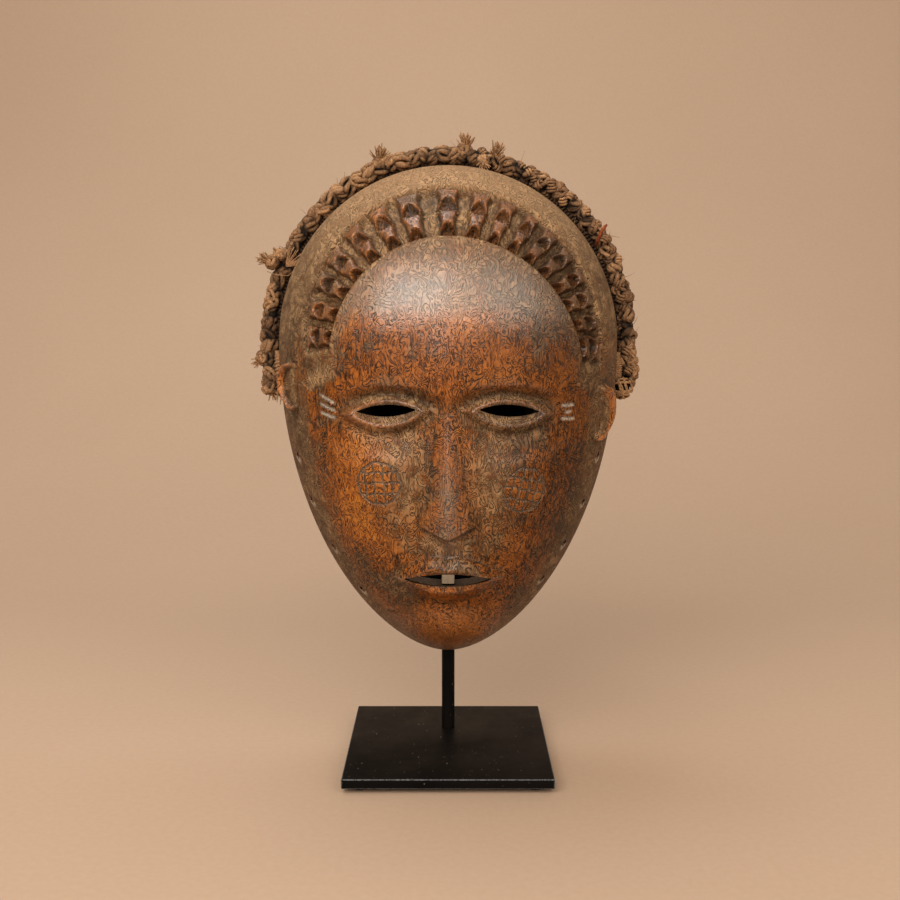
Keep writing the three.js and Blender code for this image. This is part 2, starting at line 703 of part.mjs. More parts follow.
// The outline of the head plate from the front: a narrow foot that widens to a shoulder.
function plateOutline(halfWidth) {
  const share = halfWidth / (PLATE_HALF_WIDTH + PLATE_WING);
  const foot = PLATE_FOOT_HALF_WIDTH * share;
  const corner = 8;
  const right = [
    [foot, PLATE_LOW_Z],
    [mix(foot, halfWidth, 0.62), mix(PLATE_LOW_Z, PLATE_SHOULDER_Z, 0.42)],
    [halfWidth, PLATE_SHOULDER_Z],
    [halfWidth, PLATE_TOP_Z - corner],
    [halfWidth - corner, PLATE_TOP_Z],
  ];
  return [...right, ...right.map(([x, z]) => [-x, z]).reverse()].map(([x, z]) => new THREE.Vector2(x, z));
}

// A flat outline in x and z, given a thickness towards +Y from the plane at y.
function standing(outline, y, thick) {
  const geometry = new THREE.ExtrudeGeometry(new THREE.Shape(outline), { depth: thick, bevelEnabled: false });
  return geometry.rotateX(Math.PI / 2).translate(0, y + thick, 0);
}

// The plate's section from above: a flat middle with two wings folded back.
function foldedSection(y) {
  const slope = 0.9 * PLATE_WING;
  const front = [
    [-PLATE_HALF_WIDTH - PLATE_WING, y + slope],
    [-PLATE_HALF_WIDTH, y],
    [PLATE_HALF_WIDTH, y],
    [PLATE_HALF_WIDTH + PLATE_WING, y + slope],
  ];
  const back = front.map(([x, depth]) => [x, depth + PLATE_THICK]).reverse();
  return [...front, ...back].map(([x, depth]) => new THREE.Vector2(x, depth));
}

const PLATE_Y = POST_Y + POST_DIAMETER / 2 + 2 * GAP + FELT_THICK;

function plateGeometry() {
  const folded = new THREE.ExtrudeGeometry(new THREE.Shape(foldedSection(PLATE_Y)), {
    depth: MASK_HEIGHT,
    bevelEnabled: false,
  }).translate(0, 0, CHIN_Z);
  const blank = standing(plateOutline(PLATE_HALF_WIDTH + PLATE_WING), PLATE_Y - 5, 30);
  return geometryOf(solidOf(folded).intersect(solidOf(blank)));
}

// The felt's top edge is a shallow hollow arc.
function feltGeometry() {
  const top = [];
  for (let i = -6; i <= 6; i += 1) {
    top.push(new THREE.Vector2((-i / 6) * FELT_HALF_WIDTH, FELT_TOP_Z + FELT_RISE * (i / 6) ** 2));
  }
  const foot = PLATE_FOOT_HALF_WIDTH - 3;
  const low = [new THREE.Vector2(-foot, PLATE_LOW_Z + 2), new THREE.Vector2(foot, PLATE_LOW_Z + 2)];
  return standing([...low, ...top], PLATE_Y - GAP - FELT_THICK, FELT_THICK);
}

function padGeometry() {
  const half = PAD_WIDTH / 2;
  const section = new THREE.Shape([
    new THREE.Vector2(-half, 0),
    new THREE.Vector2(half, 0),
    new THREE.Vector2(half, -PAD_DEPTH + 0.5),
    new THREE.Vector2(half - 0.5, -PAD_DEPTH),
    new THREE.Vector2(0.3, -PAD_DEPTH),
    new THREE.Vector2(0, -PAD_DEPTH + 0.4),
    new THREE.Vector2(-0.3, -PAD_DEPTH),
    new THREE.Vector2(-half + 0.5, -PAD_DEPTH),
    new THREE.Vector2(-half, -PAD_DEPTH + 0.5),
  ]);
  const geometry = new THREE.ExtrudeGeometry(section, { depth: PAD_HEIGHT, bevelEnabled: false });
  return geometry.translate(0, POST_Y - POST_DIAMETER / 2 - GAP, PAD_LOW_Z);
}

const group = new THREE.Group();
group.add(mesh("mask", maskGeometry(), wood));
group.add(mesh("fibre_trim", trimGeometry(), fibre));
group.add(mesh("stand_base", baseGeometry(), steel));
group.add(mesh("stand_post", postGeometry(), steel));
group.add(mesh("head_plate", plateGeometry(), steel));
group.add(mesh("plate_felt", feltGeometry(), felt));
group.add(mesh("post_pad", padGeometry(), paleFelt));
for (const [i, [sx, sy]] of [[-1, -1], [1, -1], [1, 1], [-1, 1]].entries()) {
  const corner = BASE_SIDE / 2 - FOOT_INSET;
  group.add(mesh(`stand_foot_${i + 1}`, footGeometry(sx * corner, sy * corner), rubber));
}

const bounds = new THREE.Box3().setFromObject(group, true);
const centre = bounds.getCenter(new THREE.Vector3());
group.position.set(-centre.x, -centre.y, -bounds.min.z);

export default group;
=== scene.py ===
import math
import random
from functools import partial
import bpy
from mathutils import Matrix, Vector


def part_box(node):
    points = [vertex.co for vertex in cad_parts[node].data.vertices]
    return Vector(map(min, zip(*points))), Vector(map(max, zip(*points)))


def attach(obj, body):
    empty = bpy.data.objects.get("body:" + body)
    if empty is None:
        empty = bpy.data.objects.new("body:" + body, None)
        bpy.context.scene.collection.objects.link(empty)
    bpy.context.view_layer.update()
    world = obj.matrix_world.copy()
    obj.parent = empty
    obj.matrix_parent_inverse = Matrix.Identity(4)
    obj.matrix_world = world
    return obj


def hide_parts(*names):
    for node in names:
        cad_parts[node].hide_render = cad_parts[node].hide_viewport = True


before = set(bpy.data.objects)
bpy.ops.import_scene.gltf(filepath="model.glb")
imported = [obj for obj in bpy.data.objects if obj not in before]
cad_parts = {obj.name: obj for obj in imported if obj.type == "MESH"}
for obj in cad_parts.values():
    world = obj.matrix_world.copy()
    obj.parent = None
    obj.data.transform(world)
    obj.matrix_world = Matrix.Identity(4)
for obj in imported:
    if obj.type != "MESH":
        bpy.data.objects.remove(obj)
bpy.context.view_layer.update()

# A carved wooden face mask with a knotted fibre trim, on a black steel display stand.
from types import SimpleNamespace

import bpy
import numpy as np
from mathutils import Matrix, Vector

bpy.ops.object.select_all(action="DESELECT")

MM = 0.001
DEGREE = math.pi / 180

# The stand's own measure, in millimetres: its origin is under the middle of the base plate.
FEET_HEIGHT = 2.8
base_low, base_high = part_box("stand_base")
base_middle = (base_low + base_high) / 2
ORIGIN = np.array([base_middle.x, base_middle.y, base_low.z - FEET_HEIGHT * MM])


def to_metres(points):
    return np.asarray(points, float) * MM + ORIGIN


# Camera: level with the hairline, half a metre in front, tilted down a little.
CAMERA_AT = (1.0, -574.5, 231.5)
CAMERA_DOWN = 6.68
CAMERA_LENS = 44.46
CAMERA_SENSOR = 36
camera_data = bpy.data.cameras.new("camera")
camera_data.lens = CAMERA_LENS
camera_data.sensor_width = CAMERA_SENSOR
camera = bpy.data.objects.new("camera", camera_data)
camera.location = to_metres(CAMERA_AT)
camera.rotation_euler = ((90 - CAMERA_DOWN) * DEGREE, 0, 0)
bpy.context.collection.objects.link(camera)
bpy.context.scene.camera = camera


# Small sums that the forms below share.
def mix(a, b, t):
    return a + (b - a) * t


def smooth(start, end, x):
    t = np.clip((x - start) / (end - start), 0, 1)
    return t * t * (3 - 2 * t)


def plateau(start, full, fade, end, x):
    """Rises from start to full, and falls from fade to end."""
    return smooth(start, full, x) * (1 - smooth(fade, end, x))


def bell(distance, width=1.0):
    return np.exp(-((distance / width) ** 2))


def spot(u, v):
    """A soft oval spot, from two offsets that are shares of its half sizes."""
    return bell(np.hypot(u, v))


def inside_box(u, half_u, v, half_v):
    return (np.abs(u) < half_u) & (np.abs(v) < half_v)


def unit(vectors):
    """One vector, or a row of them, brought to length 1."""
    vectors = np.asarray(vectors, float)
    return vectors / np.maximum(np.linalg.norm(vectors, axis=-1, keepdims=True), 1e-9)


# Work on a mesh: points in and out in millimetres, and edit mode on chosen elements.
def only(piece):
    bpy.ops.object.select_all(action="DESELECT")
    piece.select_set(True)
    bpy.context.view_layer.objects.active = piece


def read(elements, field, width=1, kind=np.float32):
    """One field of all vertices, edges, loops or faces, with a row for each."""
    values = np.empty(len(elements) * width, kind)
    elements.foreach_get(field, values)
    return values.reshape(-1, width)


def flat_points(piece):
    return read(piece.data.vertices, "co", 3).astype(float)


def set_points(piece, points):
    piece.data.vertices.foreach_set("co", np.asarray(points, np.float32).ravel())
    piece.data.update()


def points_of(piece):
    return (flat_points(piece) - ORIGIN) / MM


def edge_ends(piece):
    return read(piece.data.edges, "vertices", 2, np.int32)


def edges_between(piece, chosen):
    """Edges whose two ends are both chosen."""
    return chosen[edge_ends(piece)].all(axis=1)


def border_edges(piece):
    """Edges that have one face only."""
    loops = read(piece.data.loops, "edge_index", 1, np.int32)
    return np.bincount(loops[:, 0], minlength=len(piece.data.edges)) == 1


def face_middles(piece):
    return read(piece.data.polygons, "center", 3).astype(float)


def edit(piece, kind, chosen, *steps):
    """Runs edit-mode steps on the chosen vertices, edges or polygons, or on all of them for None."""
    only(piece)
    kinds = ("vertices", "edges", "polygons")
    bpy.context.tool_settings.mesh_select_mode = [kind == one for one in kinds]
    if chosen is None:
        chosen = np.ones(len(getattr(piece.data, kind)), bool)
    for one in kinds:
        part = getattr(piece.data, one)
        picked = chosen if one == kind else np.zeros(len(part), bool)
        if kind == "edges" and one == "vertices":
            picked[edge_ends(piece)[chosen].ravel()] = True
        part.foreach_set("select", picked)
    bpy.ops.object.mode_set(mode="EDIT")
    for step in steps:
        step()
    bpy.ops.object.mode_set(mode="OBJECT")


def put_attribute(piece, name, values):
    made = piece.data.attributes.new(name, "FLOAT", "POINT")
    made.data.foreach_set("value", np.asarray(values, np.float32))


def finish_piece(piece, name, material, node):
    piece.name = name
    piece.data.name = name
    piece.data.materials.clear()
    piece.data.materials.append(material)
    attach(piece, "root")
    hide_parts(node)


# The mask's shell, in millimetres. FULLNESS is the exponent of its rounded section: 2 would be an ellipse.
MASK_HEIGHT = 255
MASK_WIDTH = 178
CHIN_Z = 57
WIDEST_AT = 0.64
RIM_CHIN_Y = 13.6
RIM_TOP_Y = 38
FRONT_Y = -77.5
FULLNESS = 2.3
CHIN_TAPER = 0.08
WALL = 8
FRONT_WALL = 11
MIDDLE_Z = CHIN_Z + WIDEST_AT * MASK_HEIGHT
HALF_WIDTH = MASK_WIDTH / 2
UPPER_HEIGHT = (1 - WIDEST_AT) * MASK_HEIGHT
LOWER_HEIGHT = WIDEST_AT * MASK_HEIGHT

# The coiffure band. Its radii are shares of the rim's size, seen from the front, and its blocks are counted
# from the middle one to each side.
HAIRLINE_TOP = 0.533
HAIRLINE_LEFT = 0.61
HAIRLINE_RIGHT = 0.69
BAND_EDGE_TOP = 0.8
BAND_EDGE_LEFT = 0.755
BAND_EDGE_RIGHT = 0.825
BLOCKS_LEFT = 7
BLOCKS_RIGHT = 9
LEFT_END = 86 * DEGREE
RIGHT_END = 90 * DEGREE
BLOCK_SPREAD = 0.87
BAND_DEPTH = 3.6

# The face, laid out by ratio: thirds from hairline to brow to nose base to chin.
HAIRLINE_Z = MIDDLE_Z + HAIRLINE_TOP * UPPER_HEIGHT
CHIN_FRONT_Z = CHIN_Z + 8
THIRD = (HAIRLINE_Z - CHIN_FRONT_Z) / 3
BROW_Z = CHIN_FRONT_Z + 2 * THIRD
NOSE_BASE_Z = CHIN_FRONT_Z + THIRD
MOUTH_Z = NOSE_BASE_Z - THIRD / 3
EYE_Z = CHIN_Z + 0.52 * MASK_HEIGHT
EYE_SLIT = 28
EYE_X = 28
EYE_HALF = 21.5
EYE_RISE = 8.5
EYE_FALL = 9.5
EYE_OPEN = 2.8
EYE_SLIT_LIFT = 0.8
EYE_SLANT = 0.05
SOCKET_DEPTH = 7
SOCKET_HALF = 33
NOSE_HALF = 14
NOSE_STAND = 10
MOUTH_HALF = 27
MOUTH_RISE = 10.5
MOUTH_FALL = 12
MOUTH_SLIT_HALF = 21
MOUTH_OPEN = 3.4

# Each ear: (side, its level as an angle from straight up, half height, half width, rim's width, and how high
# its floor stands beside the rim and in the middle).
EARS = [(-1, 98.5 * DEGREE, 11.5, 14, 1.5, (0.8, 0.2)), (1, 104 * DEGREE, 14, 15, 3.6, (2.7, 1.2))]
EAR_AT = 0.61
EAR_ARC = 144
FACE_DEPTH_ARC = 150
TEMPLE_X = 56
RIM_HOLE_ANGLES = [-112, -121.5, -133, -145.5, 112, 122, 132, 142]
RIM_HOLE_AT = 0.69
RIM_HOLE_RADIUS = 1.8
RIM_HOLE_BORDER = 3 * RIM_HOLE_RADIUS
RIM_AT = 0.98


def rim_y(z):
    return mix(RIM_CHIN_Y, RIM_TOP_Y, (z - CHIN_Z) / MASK_HEIGHT)


def narrowing_at(up):
    return np.where(up < 0, np.maximum(1 - up * up, 0) ** CHIN_TAPER, 1)


def shell(p, q, inset=0, front_inset=0):
    """Points of the plain shell over the unit disc, and where they lie across and up the front view."""
    radius = np.hypot(p, q)
    turn = radius * math.pi / 2
    sine = np.sin(turn)
    cosine = np.maximum(np.cos(turn), 0)
    reach = 1 / (sine**FULLNESS + cosine**FULLNESS) ** (1 / FULLNESS)
    whole = np.where(radius > 0, radius, 1)
    across = reach * sine * p / whole
    up = np.clip(reach * sine * q / whole, -1, 1)
    z = MIDDLE_Z + up * (np.where(up > 0, UPPER_HEIGHT, LOWER_HEIGHT) - inset)
    x = across * (HALF_WIDTH - inset) * narrowing_at(up)
    y = mix(rim_y(z), FRONT_Y + front_inset, reach * cosine)
    return np.stack([x, y, z], -1), across, up


def shell_normal(p, q):
    step = 1e-3
    p, q = p * (1 - step), q * (1 - step)
    along_p = shell(p + step, q)[0] - shell(p - step, q)[0]
    along_q = shell(p, q + step)[0] - shell(p, q - step)[0]
    return unit(np.cross(along_p, along_q))


def disc_radius(share):
    share = np.minimum(share, 1)
    return np.arctan2(share, (1 - share**FULLNESS) ** (1 / FULLNESS)) / (math.pi / 2)


def disc_point(x, z, inset=0):
    """The disc's point whose shell point is seen at (x, z) from the front."""
    up = (z - MIDDLE_Z) / (np.where(z > MIDDLE_Z, UPPER_HEIGHT, LOWER_HEIGHT) - inset)
    across = x / ((HALF_WIDTH - inset) * np.maximum(narrowing_at(np.clip(up, -0.999, 1)), 0.2))
    share = np.hypot(across, up)
    radius = disc_radius(share)
    share = np.maximum(share, 1e-9)
    return radius * across / share, radius * up / share


def lens_gap(u, v, half, rise, fall):
    """How far (u, v) lies outside a lens drawn by two arcs."""
    upper = (half * half + rise * rise) / (2 * rise)
    lower = (half * half + fall * fall) / (2 * fall)
    return np.maximum(np.hypot(u, v - rise + upper) - upper, np.hypot(u, v + fall - lower) - lower)


def eye_slit(x, z):
    out = np.abs(x) - EYE_X
    return lens_gap(out, z - EYE_Z - EYE_SLIT_LIFT + EYE_SLANT * out, EYE_SLIT / 2, EYE_OPEN, EYE_OPEN)


def mouth_slit(x, z):
    return lens_gap(x, z - MOUTH_Z, MOUTH_SLIT_HALF, MOUTH_OPEN, MOUTH_OPEN)


def socket(x, z):
    away = z - EYE_Z + 1
    side = (np.abs(x) - EYE_X + 2) / SOCKET_HALF
    distance = np.hypot(side, away / np.where(away > 0, 15, 27))
    shoulder = mix(0.1, 0.52, smooth(-6, 9, away))
    return -SOCKET_DEPTH * (1 - smooth(shoulder, 1, distance))


def broad_forms(x, z):
    muzzle = 3.5 * bell(np.hypot(x / 36, (z - MOUTH_Z) / 24), 0.8)
    chin = 3 * spot(x / 16, (z - CHIN_FRONT_Z - 13) / 12)
    under_lip = -1.6 * spot(x / 17, (z - MOUTH_Z + 16) / 4)
    cheek = 2.4 * spot((np.abs(x) - 38) / 17, (z - NOSE_BASE_Z - 22) / 22)
    forehead = 2.5 * spot(x / 46, (z - BROW_Z - 30) / 26)
    return socket(x, z) + muzzle + chin + under_lip + cheek + forehead


def eye_form(x, z):
    out = np.abs(x) - EYE_X
    inside = -lens_gap(out, z - EYE_Z + EYE_SLANT * out, EYE_HALF, EYE_RISE, EYE_FALL)
    return np.interp(inside, [-1.4, -0.2, 0.8, 2.8, 3.6, 4.4, 8], [0, 0.5, 2.0, 4.7, 5.0, 4.4, 2.4])


def lips_form(x, z):
    away = z - MOUTH_Z
    bow = np.where(away > 0, 1.3 * bell((np.abs(x) - 7) / 5) - 0.9 * bell(x / 3), 0) * smooth(2, 8, away)
    inside = bow - lens_gap(x, away, MOUTH_HALF, MOUTH_RISE, MOUTH_FALL)
    lips = np.interp(inside, [-2, -0.3, 1.5, 4.6, 5.8, 6.6, 9], [0, 0.5, 2.6, 5.4, 5.6, 5.0, 3.2])
    return lips - 0.8 * bell(x / 2.6) * plateau(8, 12, 17, 22, away)


def nose_form(x, z):
    t = (BROW_Z - z) / (BROW_Z - NOSE_BASE_Z)
    half = mix(4.6, 8, smooth(-0.1, 0.7, t)) + (NOSE_HALF - 8) * smooth(0.66, 0.97, t)
    crest = mix(-0.6, NOSE_STAND, np.clip(t, 0, 1) ** 1.25) - 6 * smooth(0.02, -0.3, t)
    share = np.abs(x) / half
    wing = 1.2 * spot((np.abs(x) - 9.5) / 3.4, (z - NOSE_BASE_Z - 5) / 5)
    height = crest * (1 - np.minimum(share, 1) ** 1.7) + wing
    foot = NOSE_BASE_Z + 0.45 * np.abs(x) - 2
    return np.maximum(height, 0) * (1 - smooth(1, 1.12, share)) * smooth(foot - 1.2, foot + 0.4, z)


def features(x, z):
    """How far the eyes, the lips and the nose stand out of the broad forms, towards the front."""
    return np.maximum(np.maximum(eye_form(x, z), nose_form(x, z)), 0) + lips_form(x, z)


# Incised marks on the cheeks, a ring around a grid of lines: (across, up, radius, squash, tilt in degrees).
CHEEK_MARKS = [(-31.7, 156.6, 10, 1.0, 4), (35.3, 153.3, 10.6, 0.9, -14)]
MARK_LINES_ACROSS = [-6.4, -2.3, 2.1, 6.2]
MARK_LINES_DOWN = [-5, 0.3, 5.2]
MARK_DEPTH = 0.6
RING_HALF, ACROSS_HALF, DOWN_HALF = 0.75, 0.7, 0.65


def groove(distance, half_width):
    return 1 - smooth(0.2 * half_width, half_width, np.abs(distance))


def cheek_marks(x, z):
    depth = np.zeros_like(x)
    for middle_x, middle_z, radius, squash, tilt in CHEEK_MARKS:
        u, v = x - middle_x, z - middle_z
        c, s = math.cos(tilt * DEGREE), math.sin(tilt * DEGREE)
        u, v = (u * c + v * s) / squash, v * c - u * s
        # The knife's hand wavers a little.
        u = u + 0.25 * np.sin(0.9 * v + middle_x)
        v = v + 0.3 * np.sin(0.8 * u + middle_z)
        away = np.hypot(u, v) - radius
        lines = [groove(u - at, ACROSS_HALF) * (away < 0) for at in MARK_LINES_ACROSS]
        lines += [groove(v - at, DOWN_HALF) * (away < 0) for at in MARK_LINES_DOWN]
        depth = np.maximum.reduce([depth, groove(away, RING_HALF), *lines])
    return depth


# Three short cuts beside each eye: (side, height over the eye, slope, half length).
TEMPLE_CUTS = [(-1, 5.4, -0.5, 4.2), (-1, 1.5, -0.4, 4.4), (-1, -2.2, -0.3, 4.4),
               (1, 2.6, 0.0, 3.8), (1, -0.6, 0.03, 2.2), (1, -3.8, -0.06, 4.0)]
CUT_DEPTH = 0.8
CUT_HALF = 1.2


def temple_cuts(x, z):
    depth = np.zeros_like(x)
    for side, height, slope, half in TEMPLE_CUTS:
        u = x - side * TEMPLE_X
        v = z - EYE_Z - height - slope * u
        depth = np.maximum(depth, groove(v, CUT_HALF) * (1 - smooth(half - 1.6, half, np.abs(u))))
    return depth


# The coiffure's blocks stand in bays. Angles count from straight up, to the right.
block_angles = np.concatenate([
    -LEFT_END * (np.arange(BLOCKS_LEFT, 0, -1) / BLOCKS_LEFT) ** BLOCK_SPREAD,
    RIGHT_END * (np.arange(BLOCKS_RIGHT + 1) / BLOCKS_RIGHT) ** BLOCK_SPREAD])
bay_walls = (block_angles[1:] + block_angles[:-1]) / 2
band_start = 2 * block_angles[0] - bay_walls[0]
band_stop = 2 * block_angles[-1] - bay_walls[-1]
bay_edges = np.concatenate([[band_start], bay_walls, [band_stop]])

# A block is two forms in a row, each a saddle that flares out to an arched ridge and is cut back under it:
# (start, ridge in the middle, ridge at the sides, end, half widths, heights at the start, on the ridge and
# below).
BLOCK_FORMS = [
    (0.02, 0.20, 0.42, 0.45, (0.54, 0.40, 0.44, 0.56), (-0.8, 0.4, -2.2)),
    (0.48, 0.73, 0.86, 0.96, (0.50, 0.36, 0.38, 0.46), (-1.0, 0.8, -BAND_DEPTH)),
]
RIDGE_BEND = 1.8
FLANK_FALL = 15
LEDGE_AT = 0.46


def band_place(across, up):
    """The angle, and how far down from the outer band (0) to the hairline (1)."""
    angle = np.arctan2(across, up)
    sideways = np.minimum((angle / (math.pi / 2)) ** 2, 1.4)
    edge = mix(BAND_EDGE_TOP, np.where(angle < 0, BAND_EDGE_LEFT, BAND_EDGE_RIGHT), sideways)
    hairline = mix(HAIRLINE_TOP, np.where(angle < 0, HAIRLINE_LEFT, HAIRLINE_RIGHT), sideways)
    return angle, (edge - np.hypot(across, up)) / (edge - hairline)


def coiffure(angle, down):
    """Height over the shell, and how much a place is a rubbed facet, a bright edge, or an undercut or flank
    that gets painted shade.
    """
    bay = np.clip(np.searchsorted(bay_edges, angle) - 1, 0, len(block_angles) - 1)
    middle = block_angles[bay]
    room = np.where(angle < middle, middle - bay_edges[bay], bay_edges[bay + 1] - middle)
    turn = (angle - middle) / room
    wobble = np.sin(2.3 * bay + 0.7)
    side = np.abs(turn - 0.08 * np.sign(middle) + 0.05 * wobble)
    in_band = plateau(band_start - 0.02, band_start + 0.02, band_stop - 0.02, band_stop + 0.02, angle)
    floor = -BAND_DEPTH * plateau(-0.05, 0.0, 0.965, 1.0, down)
    wall = smooth(0.88, 0.97, np.abs(turn)) * plateau(0.0, 0.1, 0.8, 0.95, down)
    ledge = bell((down - LEDGE_AT) / 0.014) * (1 - smooth(0.56, 0.7, side))
    shape = np.maximum(floor + 0.5 * wall, mix(floor, -0.9, ledge))
    facet, under = np.zeros_like(down), np.zeros_like(down)
    edge = 0.8 * bell((down + 0.005) / 0.012) * (1 - smooth(0.42, 0.52, side))
    broader = 1 + 0.28 * smooth(30, 70, np.abs(middle) / DEGREE)
    for start, crown, feet, stop, widths, (low, high, below) in BLOCK_FORMS:
        here = (down >= start) & (down < stop)
        half = np.interp(down, np.linspace(start, stop, len(widths)), widths) * (1 + 0.1 * wobble) * broader
        ridge = crown + (feet - crown) * np.minimum(side / widths[-1], 1.15) ** RIDGE_BEND + 0.02 * wobble
        share = (down - start) / (ridge - start)
        saddle = mix(low, high, np.clip(share, 0, 1) ** 1.6)
        top = np.where(share < 1, saddle, mix(high, below, smooth(0, 0.06, down - ridge)))
        form = top - FLANK_FALL * np.maximum(side - half, 0)
        shape = np.where(here, np.maximum(shape, form), shape)
        facet = np.maximum(facet, here * (1 - smooth(half, half + 0.05, side)) * (share < 1))
        flank = here * plateau(half, half + 0.05, half + 0.18, half + 0.3, side) * (share < 1.1)
        cut_back = here * (share > 1.02) * (side < widths[-1]) * (1 if high < 1 else 0.75)
        under = np.maximum.reduce([under, 0.65 * flank, cut_back])
        crest = here * bell((down - ridge) / 0.016) * (1 - smooth(widths[-1] - 0.05, widths[-1] + 0.05, side))
        edge = np.maximum.reduce([edge, crest, 0.45 * here * (share < 1) * bell((side - half) / 0.04)])
    lip = 0.7 * bell((down - 1.05) / 0.05) + 0.2 * bell((down + 0.05) / 0.04)
    seen = in_band * (down > -0.1) * (down < 1.0)
    return (shape + lip) * in_band, facet * seen, edge * seen, under * seen


def ear(p, q):
    """Height over the shell, and how near a place is to an ear's outer rim."""
    height, rim = np.zeros_like(p), np.zeros_like(p)
    for side, level, half_height, half_width, rim_width, (inner, centre) in EARS:
        rise = (level - side * np.arctan2(p, q)) * EAR_ARC
        back = (np.hypot(p, q) - EAR_AT) * FACE_DEPTH_ARC
        narrow = mix(0.4, 1, smooth(-half_height, 0.2 * half_height, rise)) * half_width
        inside = (1 - np.hypot(rise / half_height, back / narrow)) * half_width
        section = [-0.6, 0, 0.6, rim_width, rim_width + 1.4, 9]
        stand = np.interp(inside, section, [0, 2.8, 4.2, 3.6, inner, centre])
        fade = smooth(-0.5, 0.25, back / narrow)
        height = height + stand * fade
        broad = rim_width * (0.7 + 1.0 * bell(rise / half_height - 0.3, 0.6))
        rim = rim + (inside > -0.6) * (1 - smooth(broad, broad + 1, inside)) * smooth(-0.3, 0.2, back / narrow)
    return height, rim


# The grid's rows are shared out so that the long lower half gets its due.
ROW_SPLIT = 0.24
GRID_ACROSS = 120
GRID_DOWN = 156
HOLLOW_ACROSS = 56
HOLLOW_DOWN = 72
OPENING_FLARE = 4.5
# What the tool, the hand and the dust left, with painted light and shade among them, each an attribute of the
# mask's points from 0 to 1. A crease is sought among near neighbours and a hollow among far ones, by so many
# rounds of smoothing.
WEAR = ("dust", "polish", "dark", "pale", "warm", "oil", "chalk")
HOLLOW_WEAR = {"dust": 0.55, "dark": 0.25}
NEAR_ROUNDS = 10
WIDE_ROUNDS = 150


def disc_of(flat):
    a, b = flat[:, 0], flat[:, 1]
    q = np.where(b < ROW_SPLIT, (b - ROW_SPLIT) / (1 + ROW_SPLIT), (b - ROW_SPLIT) / (1 - ROW_SPLIT))
    return a * np.sqrt(1 - q * q / 2), q * np.sqrt(1 - a * a / 2)


# The axis of each rim hole: where it meets the shell, and its way out.
hole_angles = np.array(RIM_HOLE_ANGLES) * DEGREE
hole_p, hole_q = RIM_HOLE_AT * np.sin(hole_angles), RIM_HOLE_AT * np.cos(hole_angles)
RIM_HOLES = list(zip(shell(hole_p, hole_q)[0], shell_normal(hole_p, hole_q)))


def to_axis(points, axis):
    """Each point's offset from a hole's axis, and how far off it is."""
    start, along = axis
    offset = points - start
    offset = offset - np.outer(offset @ along, along)
    distance = np.linalg.norm(offset, axis=1)
    distance = np.where(points[:, 0] * start[0] > 0, distance, 1e3)
    return offset, distance


def near_rim_hole(points, reach):
    return np.any([to_axis(points, axis)[1] < reach for axis in RIM_HOLES], axis=0)


def grid(across, down):
    bpy.ops.mesh.primitive_grid_add(x_subdivisions=across, y_subdivisions=down, size=2)
    return bpy.context.active_object


def place_at(p, q, *insets):
    """Points of the disc, laid on the shell, with all that tells where they are."""
    points, across, up = shell(p, q, *insets)
    angle, down = band_place(across, up)
    return SimpleNamespace(
        p=p, q=q, radius=np.hypot(p, q), points=points, x=points[:, 0].copy(), z=points[:, 2].copy(),
        across=across, up=up, angle=angle, down=down)


def in_marks(at):
    cuts = inside_box(np.abs(at.x) - TEMPLE_X, 6, at.z - EYE_Z - 1, 8.5) & (at.radius < 0.8)
    rings = [np.hypot(at.x - x, at.z - z) < size + 1.6 for x, z, size, _, _ in CHEEK_MARKS]
    return np.any([cuts, *rings], axis=0) | near_rim_hole(at.points, 3.4)


def in_face(at):
    turn = at.angle - (band_start + band_stop) / 2
    band = inside_box(at.down - 0.49, 0.65, turn, (band_stop - band_start) / 2 + 0.08)
    ears = ear(at.p, at.q)[0] > 0
    eyes = inside_box(np.abs(at.x) - EYE_X, 24, at.z - EYE_Z, 13)
    nose = (np.abs(at.x) < 17) & (at.z < BROW_Z + 2) & (at.z > NOSE_BASE_Z - 6)
    mouth = inside_box(at.x, 30, at.z - MOUTH_Z, 15)
    return (band | ears | eyes | nose | mouth | in_marks(at)) & (at.radius < 0.97)


def around_openings(at):
    eyes = inside_box(np.abs(at.x) - EYE_X, 22, at.z - EYE_Z, 12) & (at.radius < 0.8)
    mouth = inside_box(at.x, 32, at.z - MOUTH_Z, 14) & (at.radius < 0.9)
    return eyes | mouth | around_holes(at)


def around_holes(at):
    return near_rim_hole(at.points, 9)


def split_faces(piece, *areas):
    """Halves the faces, each way, in one area after the other."""
    for area in areas:
        chosen = area(place_at(*disc_of(face_middles(piece))))
        edit(piece, "polygons", chosen, lambda: bpy.ops.mesh.subdivide(number_cuts=1))


def fit_to_opening(at, slit, border, wider, inset):
    """Moves the border's disc points onto the outline of an opening."""
    x, z = at.x[border], at.z[border]
    step = 0.01
    for _ in range(4):
        gap = slit(x, z)
        slope_x = (slit(x + step, z) - gap) / step
        slope_z = (slit(x, z + step) - gap) / step
        long = np.maximum(slope_x**2 + slope_z**2, 1e-6)
        x, z = x - (gap - wider) * slope_x / long, z - (gap - wider) * slope_z / long
    at.p[border], at.q[border] = disc_point(x, z, inset)


